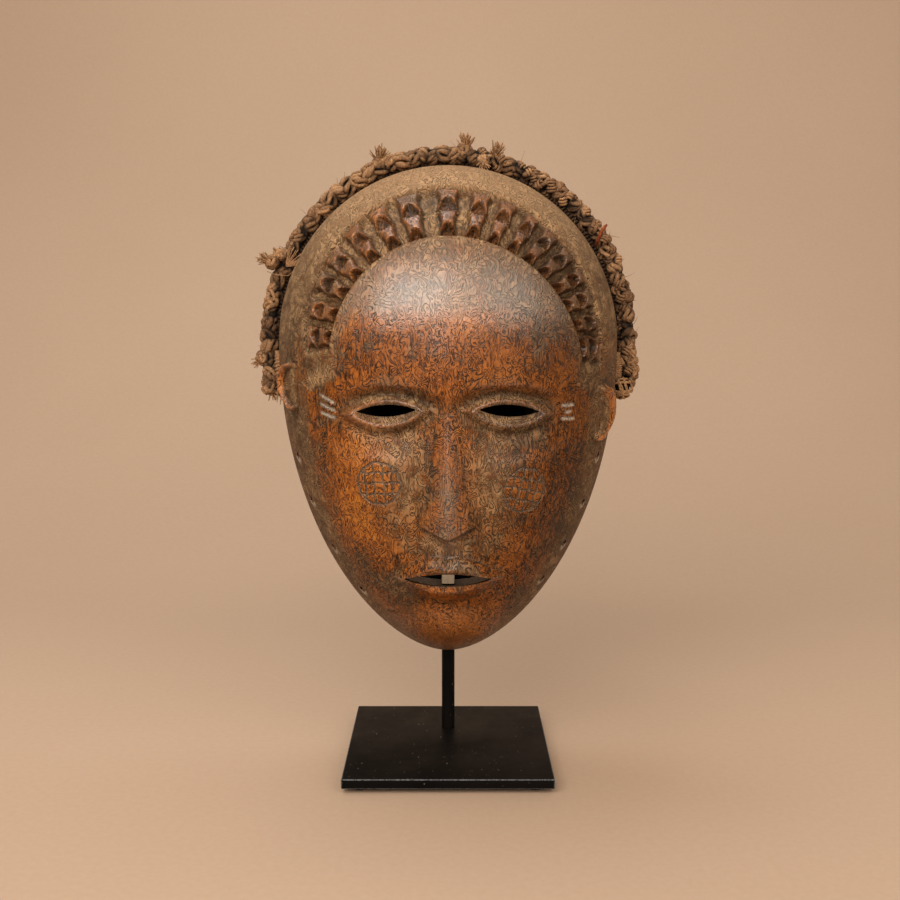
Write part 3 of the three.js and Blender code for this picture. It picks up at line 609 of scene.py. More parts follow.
def cut_openings(piece, wider=0, inset=0, front_inset=0):
    """Opens the eyes, the mouth and the rim holes, and gives the points' places and which are on a border."""
    at = place_at(*disc_of(face_middles(piece)), inset, front_inset)
    slits = (eye_slit(at.x, at.z) < wider) | (mouth_slit(at.x, at.z) < wider)
    gone = slits & (at.points[:, 1] < 0) | near_rim_hole(at.points, RIM_HOLE_RADIUS)
    edit(piece, "polygons", gone, lambda: bpy.ops.mesh.delete(type="FACE"))
    at = place_at(*disc_of(flat_points(piece)), inset, front_inset)
    on_border = np.zeros(len(at.p), bool)
    on_border[edge_ends(piece)[border_edges(piece)].ravel()] = True
    in_front = on_border & (at.points[:, 1] < -10) & (np.abs(at.x) < 50) & ~near_rim_hole(at.points, 14)
    fit_to_opening(at, eye_slit, in_front & (at.z > NOSE_BASE_Z), wider, inset)
    fit_to_opening(at, mouth_slit, in_front & (at.z < NOSE_BASE_Z), wider, inset)
    return place_at(at.p, at.q, inset, front_inset), on_border


def round_rim_holes(at, on_border):
    """Moves the border points of each rim hole onto a circle."""
    for axis in RIM_HOLES:
        offset, distance = to_axis(at.points, axis)
        near = on_border & (distance < RIM_HOLE_BORDER) & (at.radius < RIM_AT)
        at.points[near] += offset[near] * (RIM_HOLE_RADIUS / np.maximum(distance[near], 1e-3) - 1)[:, None]


def carve_front():
    """The front's surface, with its relief and the marks of its wear."""
    piece = grid(GRID_ACROSS, GRID_DOWN)
    split_faces(piece, in_face, in_face, in_marks)
    at, on_border = cut_openings(piece)
    at.marks, at.cuts = cheek_marks(at.x, at.z), temple_cuts(at.x, at.z)
    carved = features(at.x, at.z) * (at.radius < 0.75) - MARK_DEPTH * at.marks - CUT_DEPTH * at.cuts
    hair, at.facet, at.hair_edge, at.hair_under = coiffure(at.angle, at.down)
    at.ears, at.ear_rim = ear(at.p, at.q)
    at.fade = 1 - smooth(0.62, 0.9, at.radius)
    at.points[:, 1] -= broad_forms(at.x, at.z) * at.fade + carved
    at.points += shell_normal(at.p, at.q) * (hair + at.ears)[:, None]
    round_rim_holes(at, on_border)
    set_points(piece, to_metres(at.points))
    height = carved + hair + at.ears + socket(at.x, at.z) * at.fade
    near_mean = smoothed(height, edge_ends(piece), NEAR_ROUNDS)
    wide_mean = smoothed(near_mean, edge_ends(piece), WIDE_ROUNDS)
    at.sunk = np.clip((near_mean - height) / 0.5, -1, 1)
    at.hollow = np.clip((wide_mean - height) / 2.2, -1, 1)
    name_areas(at)
    for name, values in wear(at).items():
        put_attribute(piece, name, np.clip(values, 0, 1))
    return piece


def smoothed(height, ends, rounds):
    """Heights drawn towards their neighbours' mean, round by round."""
    count = np.maximum(np.bincount(ends.ravel(), minlength=len(height)), 1)
    for _ in range(rounds):
        total = sum(np.bincount(ends[:, one], height[ends[:, 1 - one]], len(height)) for one in (0, 1))
        height = 0.5 * height + 0.5 * total / count
    return height


def name_areas(at):
    """Adds the areas of the front that wear, or get painted light or shade, in their own way, each from 0 to
    about 1.
    """
    x, z, radius = at.x, at.z, at.radius
    beside = np.abs(at.angle) < 100 * DEGREE
    at.in_band = plateau(-0.06, -0.02, 0.96, 1.02, at.down) * beside
    at.near_band = plateau(-0.2, -0.1, 1.08, 1.16, at.down) * beside
    at.hair_shade = (1 - smooth(1.0, 1.6, at.down)) * (at.down > 0.98) * beside
    at.upper = smooth(-0.25, 0.15, at.up)
    at.outer_band = (1 - smooth(-0.04, 0.0, at.down)) * at.upper
    # The wood's edge under the rope gets painted shadow of the rope, with dirt.
    at.under_rope = smooth(0.945, 0.985, radius) * at.upper
    at.share = np.hypot(at.across, at.up)
    edge = np.interp(np.abs(at.angle) / DEGREE, [86, 104, 130, 158, 180], [0.70, 0.775, 0.83, 0.9, 0.95])
    at.border = mix(smooth(edge - 0.012, edge + 0.03, at.share), smooth(0.80, 0.9, radius), at.upper)
    at.socket = np.clip(-socket(x, z) / SOCKET_DEPTH, 0, 1) * at.fade
    at.beside_nose = spot((np.abs(x) - 21) / 13, (z - NOSE_BASE_Z - 28) / 30) * at.fade
    at.bridge = spot(x / 6.5, (z - NOSE_BASE_Z - 18) / 26) * at.fade
    at.over_lip = spot(x / 26, (z - MOUTH_Z - 17) / 7) * at.fade
    at.chin = 1.8 * spot(x / 20, (z - CHIN_FRONT_Z - 14) / 13)
    # A film of dust over the upper forehead, above a ragged lower edge; greyed with chalk, it also carries
    # painted sheen.
    ragged = z + 0.05 * np.abs(x) + 1.6 * np.sin(x / 9 + 2)
    at.veil = smooth(BROW_Z + 30, BROW_Z + 39, ragged) * smooth(1.0, 1.08, at.down)
    # A painted highlight along the veil's lower edge, over the brow.
    at.brow_glow = 0.85 * spot((z - BROW_Z - 31) / 7, (x + 8) / 48)
    at.forehead = 0.25 * spot(x / 58, (z - BROW_Z - 14) / 22) * (1 - at.outer_band)
    at.shine = spot(x / 80, (z - BROW_Z - 36) / 23) * smooth(1.0, 1.3, at.down)
    # The left cheek, on the side the lamps light, is painted warmer and lighter: painted light.
    at.left_cheek = 1.2 * spot((x + 40) / 20, (z - NOSE_BASE_Z - 18) / 30)
    rings = [np.hypot(x - ring_x, z - ring_z) / ring for ring_x, ring_z, ring, _, _ in CHEEK_MARKS]
    at.cells = (1 - smooth(0.8, 1.05, np.minimum.reduce(rings))) * (1 - at.marks)
    holes = [to_axis(at.points, axis) for axis in RIM_HOLES]
    at.hole_rim = np.maximum.reduce([bell(distance - 2.1) for _, distance in holes])
    at.hole_low = np.maximum.reduce([
        bell(distance - 2.8, 0.9) * (offset[:, 2] < -0.6) for offset, distance in holes])
    at.worn = np.clip(-at.sunk, 0, 1) * 0.9 * (1 - at.near_band) * (1 - 0.8 * at.outer_band)
    at.worn = np.maximum(at.worn, 0.7 * at.bridge)


def wear(at):
    """The wood is worn where it stands out, and dusty where it is sunk. Creases, undercuts, the right half and
    the wood under the rope get painted shade, and the brow, the left cheek and the band's top painted light.
    """
    crease, chin = np.clip(at.sunk, 0, 1), at.chin.clip(0, 1)
    dust = np.maximum.reduce([
        0.95 * at.outer_band, 0.8 * at.border, 0.9 * at.socket, 0.95 * at.beside_nose, 0.85 * at.over_lip,
        0.6 * at.veil, 0.8 * at.marks, 0.9 * at.in_band, 0.9 * (at.ears > 0.1), 0.8 * at.hair_shade,
        0.8 * crease, 0.5 * np.clip(at.hollow, 0, 1)])
    side_facet = at.facet * (1 - 0.45 * smooth(35, 70, np.abs(at.angle) / DEGREE))
    for share, bare in ((0.85, at.worn), (0.8, side_facet), (1, at.ear_rim), (0.7, at.hair_under),
                        (0.8, at.hair_edge), (0.75, at.cells), (1, at.hole_rim), (0.5, chin)):
        dust = dust * (1 - share * bare)
    # Polish where the wood is rubbed, with the brow's painted highlight.
    polish = np.maximum.reduce([
        at.worn * (1 - at.marks), 0.6 * at.facet, at.ear_rim, at.hair_edge, 0.55 * at.brow_glow, 0.7 * chin])
    oil = np.maximum.reduce([
        at.shine, 0.25 * chin, 0.5 * at.worn, 0.95 * at.bridge, 0.25 * at.facet, 0.6 * at.hair_edge,
        0.1 * at.ear_rim])
    # The stain is darker at the band's left end and low down along both sides, where it is partly dirt and
    # partly painted shade of the jaw turning from the light. The right half gets painted shade, as the side
    # away from the light, over a darker stain.
    stain = 0.64 * smooth(5, 60, at.x) * (1 - 0.85 * at.outer_band) * (1 - 0.4 * at.border)
    stain = stain + 0.2 * at.outer_band * smooth(-50, -75, at.x)
    stain = stain + (0.55 - 0.35 * smooth(-20, 20, at.x)) * smooth(0.7, 0.9, at.share) * (1 - at.upper)
    # Creases get painted shade, as do the coiffure's undercuts and flanks; the wood under the rope gets painted
    # shadow with dirt. Incised marks are dark, and a dark ring is painted round each rim hole.
    dark = 0.9 * crease * (1 - 0.5 * at.near_band) * (1 - 0.9 * at.marks) + 0.95 * at.marks + at.under_rope
    dark = dark + 0.75 * at.hair_under * (1 - at.hair_edge)
    dark = dark + stain * (1 - np.maximum(at.ear_rim, 0.6 * (at.ears > 0.1)))
    dark = (dark + 1.3 * at.hole_rim) * (1 - 0.9 * at.hole_low) * (1 - at.cuts)
    warm = np.maximum.reduce([
        0.6 * at.cells, at.forehead, at.brow_glow, at.chin, at.left_cheek, at.hair_edge, at.ear_rim])
    # Chalk fills the cuts and marks and the holes' low sides; over the veil it is painted sheen.
    chalk = 0.85 * at.cuts + 0.15 * at.marks + 0.11 * at.veil + 0.6 * at.hole_low
    # The outer band is painted paler towards its top, painted light from above; the holes' low sides get a pale
    # spot.
    pale = 0.65 * at.outer_band * smooth(0.2, 1, at.up) + at.hole_low
    return dict(zip(WEAR, (dust, polish, dark, pale, warm, oil, chalk)))


def carve_hollow():
    """The hollow's surface, with wider openings than the front's."""
    piece = grid(HOLLOW_ACROSS, HOLLOW_DOWN)
    split_faces(piece, around_openings, around_holes, around_holes)
    at, on_border = cut_openings(piece, OPENING_FLARE, WALL, FRONT_WALL)
    round_rim_holes(at, on_border)
    set_points(piece, to_metres(at.points))
    edit(piece, "polygons", None, bpy.ops.mesh.flip_normals)
    for name in WEAR:
        put_attribute(piece, name, np.full(len(at.points), HOLLOW_WEAR.get(name, 0.0)))
    return piece


mask = carve_front()
hollow = carve_hollow()


def forward_of_rim(points):
    """0 on the rim's plane, and less in front of it."""
    return points[:, 1] - rim_y(points[:, 2])


only(mask)
hollow.select_set(True)
bpy.ops.object.join()


def bridge(piece, near):
    """Joins the front's open border to the hollow's, where the borders' middles are near."""
    points, ends = points_of(piece), edge_ends(piece)
    middles = (points[ends[:, 0]] + points[ends[:, 1]]) / 2
    edit(piece, "edges", border_edges(piece) & near(middles), bpy.ops.mesh.bridge_edge_loops)


for axis in RIM_HOLES:
    bridge(mask, lambda at, axis=axis: (to_axis(at, axis)[1] < RIM_HOLE_BORDER) & (forward_of_rim(at) < -6))
for side in (-1, 1):
    bridge(mask, lambda at, side=side: (at[:, 0] * side > 0) & (at[:, 2] > 165) & (forward_of_rim(at) < -20))
bridge(mask, lambda at: (at[:, 2] < 140) & (np.abs(at[:, 0]) < 40) & (forward_of_rim(at) < -20))
bridge(mask, lambda at: forward_of_rim(at) > -3)
only(mask)
bpy.ops.object.shade_smooth_by_angle(angle=50 * DEGREE)


# Materials.
def colour(text):
    """An sRGB hex value, turned to linear."""
    values = [int(text[i:i + 2], 16) / 255 for i in (1, 3, 5)]
    return tuple(v / 12.92 if v <= 0.04045 else ((v + 0.055) / 1.055) ** 2.4 for v in values) + (1.0,)


def add(tree, kind, inputs=None, out=0, **settings):
    """Adds a node with its settings, fills or links its inputs, and gives one of its outputs."""
    node = tree.nodes.new(kind)
    for field, value in settings.items():
        setattr(node, field, value)
    for name, value in (inputs or {}).items():
        if isinstance(value, bpy.types.NodeSocket):
            tree.links.new(value, node.inputs[name])
        else:
            node.inputs[name].default_value = value
    return node.outputs[out] if node.outputs else None


def new_finish(name):
    """An empty material, its way to add nodes, and the place that its patterns are drawn by."""
    finish = bpy.data.materials.new(name)
    finish.use_nodes = True
    finish.node_tree.nodes.clear()
    node = partial(add, finish.node_tree)
    return finish, node, node("ShaderNodeTexCoord", out="Object")


MATH, MIX, RANGE = "ShaderNodeMath", "ShaderNodeMix", "ShaderNodeMapRange"
NOISE, PLACE, FROM_MESH = "ShaderNodeTexNoise", "ShaderNodeMapping", "ShaderNodeAttribute"
BUMP, SURFACE, OUTPUT = "ShaderNodeBump", "ShaderNodeBsdfPrincipled", "ShaderNodeOutputMaterial"
# The inputs that a row of numbers fills in, in this order.
CLOUD = ("Vector", "Scale", "Detail", "Roughness", "Distortion")
SPAN = ("Value", "From Min", "From Max", "To Min", "To Max")


def patinated_wood():
    # Light hardwood stained red-brown and rubbed with oil by hands: orange where it is worn, covered with
    # fine dark lines of the tool, a dull taupe film of dust in every hollow, and an oily sheen on what stands
    # out. Light and shade are also painted into its colour: shade in creases, undercuts, under the rope and on
    # the right half, highlights beside the tool's lines and over the brow, light on the left cheek and the
    # band's top, and sheen over the upper forehead.
    finish, node, place = new_finish("oiled carved hardwood under dust")
    dust, polish, dark, pale, warm, oil, chalk = [
        node(FROM_MESH, attribute_name=name, out="Fac") for name in WEAR]
    # Grain 1.6 mm wide and 8 mm long, film of dust 6 mm wide, and the tool's lines. Each line is a contour of
    # a soft cloud, 0.4 mm wide and 1.4 mm from the next. The real ones are half as wide.
    along_grain, stained, bent = [
        node(PLACE, {"Vector": place, "Scale": scale})
        for scale in ((640, 500, 125), (160, 55, 160), (190, 80, 125))]
    # Patches of wear 25 mm wide, grit of 1.5 mm, and pits of 0.8 mm.
    streaks, mottle, swirl, patches, grit = [node(NOISE, dict(zip(CLOUD, row))) for row in (
        (along_grain, 1.0, 3.0, 0.6, 1.2),
        (stained, 1.0, 4.0, 0.65, 0.8),
        (bent, 1.0, 1.8, 0.5, 1.3),
        (place, 42.0, 3.0, 0.6),
        (place, 620.0, 2.0, 0.6))]
    cells = node("ShaderNodeTexVoronoi", {"Vector": place, "Scale": 230.0})
    beat = node(MATH, {0: swirl, 1: 0.06}, operation="PINGPONG")
    # Between two lines, where the wood stands up, it gets a painted highlight. Stray patches of film lie where
    # few hands came, on the least worn wood.
    lines, some, pits, few, raised, patchy, stray, broken, cloudy = [
        node(RANGE, dict(zip(SPAN, row))) for row in (
            (beat, 0.005, 0.026, 1.0, 0.0), (mottle, 0.36, 0.56, 0.3, 1.0), (cells, 0.07, 0.11, 1.0, 0.0),
            (patches, 0.48, 0.6), (beat, 0.034, 0.056, 0.0, 0.28), (mottle, 0.3, 0.62, 0.75, 1.25),
            (patches, 0.48, 0.38, 0.0, 0.55), (grit, 0.5, 0.72, 0.0, 0.25), (mottle, 0.34, 0.66))]
    tone = node(MATH, {0: patches, 1: 0.75}, operation="MULTIPLY")
    for part, weight in ((streaks, 0.75), (grit, 0.3), (warm, 0.16)):
        tone = node(MATH, {0: part, 1: weight, 2: tone}, operation="MULTIPLY_ADD")
    worn, glow = [node(RANGE, dict(zip(SPAN, row)), interpolation_type="SMOOTHSTEP") for row in (
        (tone, 0.75, 1.01), (tone, 1.0, 1.25))]
    unworn = node(MATH, {0: 1.0, 1: warm}, operation="SUBTRACT")
    under_film = node(MATH, {0: dust, 1: -0.35, 2: 0.88}, operation="MULTIPLY_ADD")
    lines, pits, raised, rubbed, bright, film, stray, sunk = [
        node(MATH, {0: value, 1: share}, operation="MULTIPLY")
        for value, share in ((lines, some), (pits, few), (raised, worn), (polish, 0.6), (polish, warm),
                             (dust, patchy), (stray, unworn), (dark, 0.65))]
    bright = node(MATH, {0: bright, 1: 0.7}, operation="MULTIPLY")
    cut = node(MATH, {0: lines, 1: under_film}, operation="MULTIPLY")
    film = node(MATH, {0: film, 1: stray}, operation="MAXIMUM")
    film = node(MATH, {0: film, 1: broken}, operation="SUBTRACT", use_clamp=True)
    grey = node(MIX, {0: cloudy, 6: colour("#4c3b29"), 7: colour("#a6855f")}, 2, data_type="RGBA")
    # From the dark wood up: what is worn and glowing, the painted highlight beside the lines, what is rubbed
    # or bright with the brow's painted highlight, the film of dust, pale wood with the band top's painted
    # light, the tool's cuts, the dark of stains, marks and painted shade, pits, and chalk with painted sheen.
    body = colour("#1f1109")
    for share, paint in (
            (worn, colour("#8b4d19")), (glow, colour("#b3712b")), (raised, colour("#bd7a33")),
            (rubbed, colour("#8a5a33")), (bright, colour("#bd7536")), (film, grey), (pale, colour("#b18d66")),
            (cut, colour("#1a0f08")), (sunk, colour("#251a11")), (pits, colour("#120b07")),
            (chalk, colour("#a8a295"))):
        body = node(MIX, {0: share, 6: body, 7: paint}, 2, data_type="RGBA")

    relief = node(MATH, {0: grit, 1: 0.35}, operation="MULTIPLY")
    for part, weight in ((streaks, 0.5), (lines, -0.9), (pits, -1.0)):
        relief = node(MATH, {0: part, 1: weight, 2: relief}, operation="MULTIPLY_ADD")
    bump = node(BUMP, {"Strength": 1.0, "Distance": 0.0007, "Height": relief})
    smooth_bump = node(BUMP, {"Strength": 0.16, "Distance": 0.0005, "Height": relief})
    gloss, coat, facing = [node(RANGE, dict(zip(SPAN, row))) for row in (
        (film, 0.0, 0.8, 0.32, 0.65), (oil, 0.0, 0.9, 0.05, 1.0), (oil, 0.0, 0.9, 0.16, 1.0))]
    shader = node(SURFACE, {
        "Base Color": body, "Roughness": gloss, "IOR": 1.5, "Specular IOR Level": facing, "Normal": bump,
        "Coat Weight": coat, "Coat IOR": 1.55, "Coat Roughness": 0.2, "Coat Normal": smooth_bump})
    node(OUTPUT, {"Surface": shader})
    return finish


finish_piece(mask, "carved_mask", patinated_wood(), "mask")


# The trim: a thick rope of knotted loops along the rim, with frayed ends.
TRIM_LEFT_END = -98.5 * DEGREE
TRIM_RIGHT_END = 96.5 * DEGREE
TRIM_OUT = 6.9
TRIM_SAG_RIGHT = 1.0
TRIM_FORWARD = 3


def rim_normal(angle):
    at = lambda turn: shell(np.sin(turn), np.cos(turn))[0]
    along = at(angle + 0.01) - at(angle - 0.01)
    return unit(np.stack([-along[..., 2], 0 * along[..., 1], along[..., 0]], -1))


def trim_route(angle):
    loose = TRIM_SAG_RIGHT * plateau(12, 45, 75, 92, angle / DEGREE)
    point = shell(np.sin(angle), np.cos(angle))[0] + rim_normal(angle) * (TRIM_OUT + loose)[..., None]
    point[..., 1] -= TRIM_FORWARD
    return point


route_angles = np.linspace(TRIM_LEFT_END, TRIM_RIGHT_END, 400)
route = trim_route(route_angles)
route_lengths = np.concatenate([[0], np.cumsum(np.linalg.norm(np.diff(route, axis=0), axis=1))])
ROPE_LENGTH = route_lengths[-1]


def rope_frame(distance):
    """The rope's middle at a distance from its left end, and the ways along it, out of the rim and forward."""
    angle = np.array(np.interp(distance, route_lengths, route_angles))
    along = unit(trim_route(angle + 0.004) - trim_route(angle - 0.004))
    out = rim_normal(angle)
    out = unit(out - along * (out @ along))
    return trim_route(angle), along, out, np.cross(out, along)


# Fibre gets painted shade, dark where it is nearer to the rope's middle than this, and none further out.
DARK_WITHIN, LIT_FROM = 3.1, 5.1


def swept(name, strands, sides):
    """One mesh of round strands, each (points, radius at each point, tint, and the least painted shade it
    gets).
    """
    vertices, faces, tints, shades = [], [], [], []
    ring = np.arange(sides)
    circle = ring * 2 * math.pi / sides
    following = np.roll(ring, -1)
    band = np.stack([ring, following, following + sides, ring + sides], 1)
    for points, radii, tint, shade in strands:
        points = np.asarray(points, float)
        tangents = unit(np.gradient(points, axis=0))
        normal = np.cross(tangents[0], (0, 1, 0) if abs(tangents[0][1]) < 0.8 else (1, 0, 0))
        first, last = len(vertices), len(vertices) + (len(points) - 1) * sides
        for point, tangent, radius in zip(points, tangents, radii):
            normal = unit(normal - tangent * (normal @ tangent))
            vertices.extend(point + radius * oval(circle, normal, np.cross(tangent, normal)))
        for base in range(first, last, sides):
            faces.extend((base + band).tolist())
        faces.extend([(first + ring[::-1]).tolist(), (last + ring).tolist()])
        tints.extend([tint] * sides * len(points))
        shades.extend([shade] * sides * len(points))
    mesh = bpy.data.meshes.new(name)
    mesh.from_pydata(to_metres(vertices).tolist(), [], faces)
    piece = bpy.data.objects.new(name, mesh)
    bpy.context.collection.objects.link(piece)
    depths = [np.linalg.norm(part[:, None] - route, axis=2).min(axis=1)
              for part in np.array_split(np.array(vertices), len(vertices) // 2000 + 1)]
    put_attribute(piece, "tint", tints)
    put_attribute(piece, "deep", np.maximum(1 - smooth(DARK_WITHIN, LIT_FROM, np.concatenate(depths)), shades))
    only(piece)
    bpy.ops.object.shade_smooth()
    return piece


draw = random.Random(20)


def turned(vector, axis, angle):
    return np.array(Matrix.Rotation(angle, 3, Vector(axis)) @ Vector(vector))


def oval(t, one_way, other_way):
    """Points round an oval, whose half sizes are two vectors."""
    return np.outer(np.cos(t), one_way) + np.outer(np.sin(t), other_way)


def loop_strand(middle, long_way, out, long_half, short_half, thick, dive=1.3):
    """An oval loop laid on the rope, a little more than one turn, whose ends dive into it."""
    short_way = np.cross(out, long_way)
    turns, count = 1.1, 19
    t = np.linspace(0, 2 * math.pi * turns, count) + draw.uniform(0, 6.28)
    rise = np.linspace(-0.5, 0.5, count) - dive * np.cos(t) ** 2
    points = middle + oval(t, long_half * long_way, short_half * short_way) + np.outer(rise, out)
    radii = thick * (1 + 0.1 * np.sin(3 * t + middle[0]))
    return points, radii, draw.random(), 0


def wound_strand(middle, axis, radius, length, turns, thick, tint=None):
    """Cord wound round and round into a bead."""
    count = int(16 * turns)
    t = np.linspace(0, 2 * math.pi * turns, count)
    side = unit(np.cross(axis, [0.31, 0.2, 0.9]))
    share = np.linspace(-1, 1, count)
    reach = radius * np.sqrt(1 - 0.7 * share**2)[:, None]
    points = middle + reach * oval(t, side, np.cross(axis, side)) + np.outer(share * length / 2, axis)
    return points, np.full(count, thick), draw.random() if tint is None else tint, 0


# The rope is a chain of knots. Each knot is a ring of loops, laid on a slant that turns with every knot. Its
# right half has some small beads of wound cord between them.
LOOPS_IN_KNOT = 6
KNOT_RADIUS = 2.9
KNOT_PITCH = 5.2
BEADS_FROM = 0.55
BEAD_SHARE = 0.45
CORE_POINTS = 110
LASHING_IN = 4.9
LASHING_BACK = 2.6
LASHING_PITCH = 2.1
LASHING_POINTS = 3400
strands = []
distance = 1.0
knot = 0
while distance < ROPE_LENGTH - 1:
    middle, along, out, forward = rope_frame(distance)
    share = distance / ROPE_LENGTH
    size = draw.uniform(0.88, 1.12) * (1 + 0.16 * bell((share - 0.37) / 0.1))
    middle = middle + out * draw.uniform(-0.5, 1.1) + forward * draw.uniform(-0.8, 0.8)
    slant = (1 if knot % 2 else -1) * draw.uniform(0.45, 1.0)
    for number in range(LOOPS_IN_KNOT):
        around = number * 2 * math.pi / LOOPS_IN_KNOT + draw.uniform(-0.3, 0.3) + 0.5 * knot
        radial = math.cos(around) * out + math.sin(around) * forward
        place = middle + radial * KNOT_RADIUS * size + along * draw.uniform(-1.3, 1.3)
        if share > BEADS_FROM and draw.random() < BEAD_SHARE:
            axis = turned(along, radial, draw.uniform(0.6, 1.3) * np.sign(slant))
            strands.append(wound_strand(place, axis, 2.1 * size, 4.6, 3.0, 0.72))
        else:
            long_way = turned(along, radial, slant + draw.uniform(-0.25, 0.25))
            strands.append(loop_strand(place, long_way, radial, 3.2 * size, 1.6 * size, draw.uniform(1.1, 1.4)))
    distance += KNOT_PITCH * size
    knot += 1
frames = [rope_frame(at) for at in np.linspace(1, ROPE_LENGTH - 1, CORE_POINTS)]
middles = np.array([middle for middle, _, _, _ in frames])
outward = np.array([out for _, _, out, _ in frames])
# A core in full painted shade fills the rope's middle.
strands.append((middles, np.full(CORE_POINTS, 3.2), 0.1, 1.0))
# A lashing binds the rope to the wood's edge: a thin cord wound round a core. Both get painted shade, nearly
# black, where the gap between rope and wood lies in shade.
core = middles - outward * LASHING_IN + np.array([0, LASHING_BACK, 0])
strands.append((core, np.full(CORE_POINTS, 2.4), 0.1, 0.97))
wound_at = np.linspace(0, CORE_POINTS - 1, LASHING_POINTS)
wound_turn = np.linspace(0, 2 * math.pi * ROPE_LENGTH / LASHING_PITCH, LASHING_POINTS)
spread = 2.7 + 0.35 * np.sin(wound_at * 1.9)
core_at = np.arange(CORE_POINTS)
wound, sideways = [
    np.stack([np.interp(wound_at, core_at, line[:, i]) for i in range(3)], 1) for line in (core, outward)]
wound = wound + sideways * (spread * np.cos(wound_turn))[:, None]
wound[:, 1] += spread * 0.95 * np.sin(wound_turn)
strands.append((wound, np.full(LASHING_POINTS, 0.75), 0.15, 0.8))
rope = swept("rope", strands, 6)

# Knots that stand out of the rope: (angle or place, radius, lean out, tuft's way, tuft's length, fibres).
BIG_KNOTS = [
    (-98.5, 5.4, 0.8, (0.5, -0.3, -0.7), 3.5, 14),
    (-93, 5.0, 3.4, (-0.7, -0.3, -0.5), 3.0, 10),
    ((-93.5, 24, 262.0), 4.4, 0, (-0.9, -0.35, 0.45), 3.4, 34),
    ((-89.5, 25, 266), 3.6, 0, (-0.4, -0.6, 0.5), 2.0, 6),
    (-22, 4.8, 2.4, (0.1, -0.3, 1), 5.0, 46),
    (5, 5.0, 2.6, (0.15, -0.2, 1), 4.5, 42),
    (14.5, 3.6, 1.4, (0.35, -0.5, 0.9), 5.6, 46),
    ((18.5, 27, 315), 3.4, 0, (0.05, -0.8, -0.8), 4.0, 22),
]
LOOPS_IN_BALL = 9
LOOSE_FIBRES = 120
knots, fibres = [], []


def fibre(start, way, length, thick, bend, tint):
    t = np.linspace(0, 1, 7)
    side = np.array([draw.uniform(-1, 1) for _ in range(3)])
    points = start + np.outer(t * length, way) + np.outer(t**2 * bend, side)
    return points, thick * (1 - 0.5 * t), tint, 0


def brush(start, way, length, count, spread, thick, tint):
    """A bundle of fibres that opens out towards its end."""
    way = unit(way)
    for _ in range(count):
        off = np.array([draw.gauss(0, 1) for _ in range(3)])
        one_way = unit(way + off * spread)
        fibres.append(fibre(start + off * 0.55, one_way, length * draw.uniform(0.65, 1.1), thick,
                            draw.uniform(0, 0.22) * length, min(max(tint + draw.uniform(-0.3, 0.2), 0), 1)))


def dark_core(middle, half, radius):
    """A short stub in full painted shade that fills a knot from inside."""
    points = middle + np.outer([-half, 0, half], [0, 0, 1])
    return points, np.full(3, radius), 0.1, 1.0


def ball(middle, radius):
    """Loops wrapped over each other every way round."""
    for number in range(LOOPS_IN_BALL):
        height = 1 - 2 * (number + 0.5) / LOOPS_IN_BALL
        turn = number * 2.4
        flat = math.sqrt(1 - height * height)
        out = np.array([flat * math.cos(turn), flat * math.sin(turn), height])
        long_way = unit(np.cross(out, [math.sin(turn * 1.7), 0.4, math.cos(turn * 1.7)]))
        start = middle + out * radius * 0.58
        knots.append(loop_strand(start, long_way, out, radius * 0.62, radius * 0.3, 1.15, dive=0.9))
    knots.append(dark_core(middle, radius * 0.3, radius * 0.55))


def wrapped_stub(top, low, thick, tint, *winding):
    """A straight end of rope, with cord wound about it: its radius, length, turns, thickness and tint."""
    top, low = np.array(top), np.array(low)
    knots.append((np.linspace(top, low, 12), np.full(12, thick), tint, 0))
    knots.append(wound_strand((top + low) / 2, unit(low - top), *winding))


for place, radius, lean, way, length, count in BIG_KNOTS:
    if isinstance(place, tuple):
        middle = np.array(place, float)
    else:
        angle = np.array(place * DEGREE)
        middle = trim_route(angle) + rim_normal(angle) * lean
    ball(middle, radius)
    brush(middle + unit(way) * radius * 0.5, way, length + radius * 0.4, count, 0.27, 0.48, 0.95)

# The rope's right end: a smooth wrapped stub over a ball woven like a basket, of hoops that cross.
BASKET_RADIUS = 5.6
wrapped_stub((89.6, 23, 214.0), (90.4, 21.5, 200.5), 3.0, 0.75, 3.1, 13, 11, 0.42, 0.85)
basket = np.array([93.0, 21.5, 195.2])
for number in range(10):
    tilt = number % 2 * 1.35 + 0.3
    axis = unit([math.cos(tilt), 0.35 * math.sin(number), math.sin(tilt)])
    side = unit(np.cross(axis, [0.1, 1, 0.2]))
    offset = (number // 2 - 2) * 2.2
    reach = math.sqrt(BASKET_RADIUS**2 - offset**2)
    t = np.linspace(0, 2 * math.pi, 28)
    hoop = basket + axis * offset + reach * oval(t, side, np.cross(axis, side))
    knots.append((hoop, np.full(28, 0.75), 0.95, 0))
knots.append(dark_core(basket, 2, 4.3))
# The thinner cord that hangs outside the stub.
loose_end = [(97.0, 23, 217), (98.6, 22.5, 213.2), (99.6, 22, 209.4), (100.2, 22, 205.6), (99.8, 21.7, 201.8),
             (98.4, 21.5, 198.4)]
for number, place in enumerate(np.array(loose_end)):
    lean = 0.6 if number % 2 else -0.6
    for facing in ((0.2, -1, 0), (1, -0.4, 0), (-1, -0.3, 0)):
        long_way = turned((0.1, 0, 1), unit(facing), lean)
        knots.append(loop_strand(place + unit(facing) * 0.9, unit(long_way), unit(facing), 2.3, 1.1, 0.8))

# The left end: a wrapped stub along the wood's edge, and its frayed brush over the ear.
LEFT_END_LOW = (-89.8, 21.5, 197.0)
wrapped_stub((-91.0, 24, 215.0), LEFT_END_LOW, 2.5, 0.6, 2.6, 17, 9, 0.5, 0.7)
brush(LEFT_END_LOW, (0.16, -0.35, -1), 9, 40, 0.2, 0.36, 0.85)
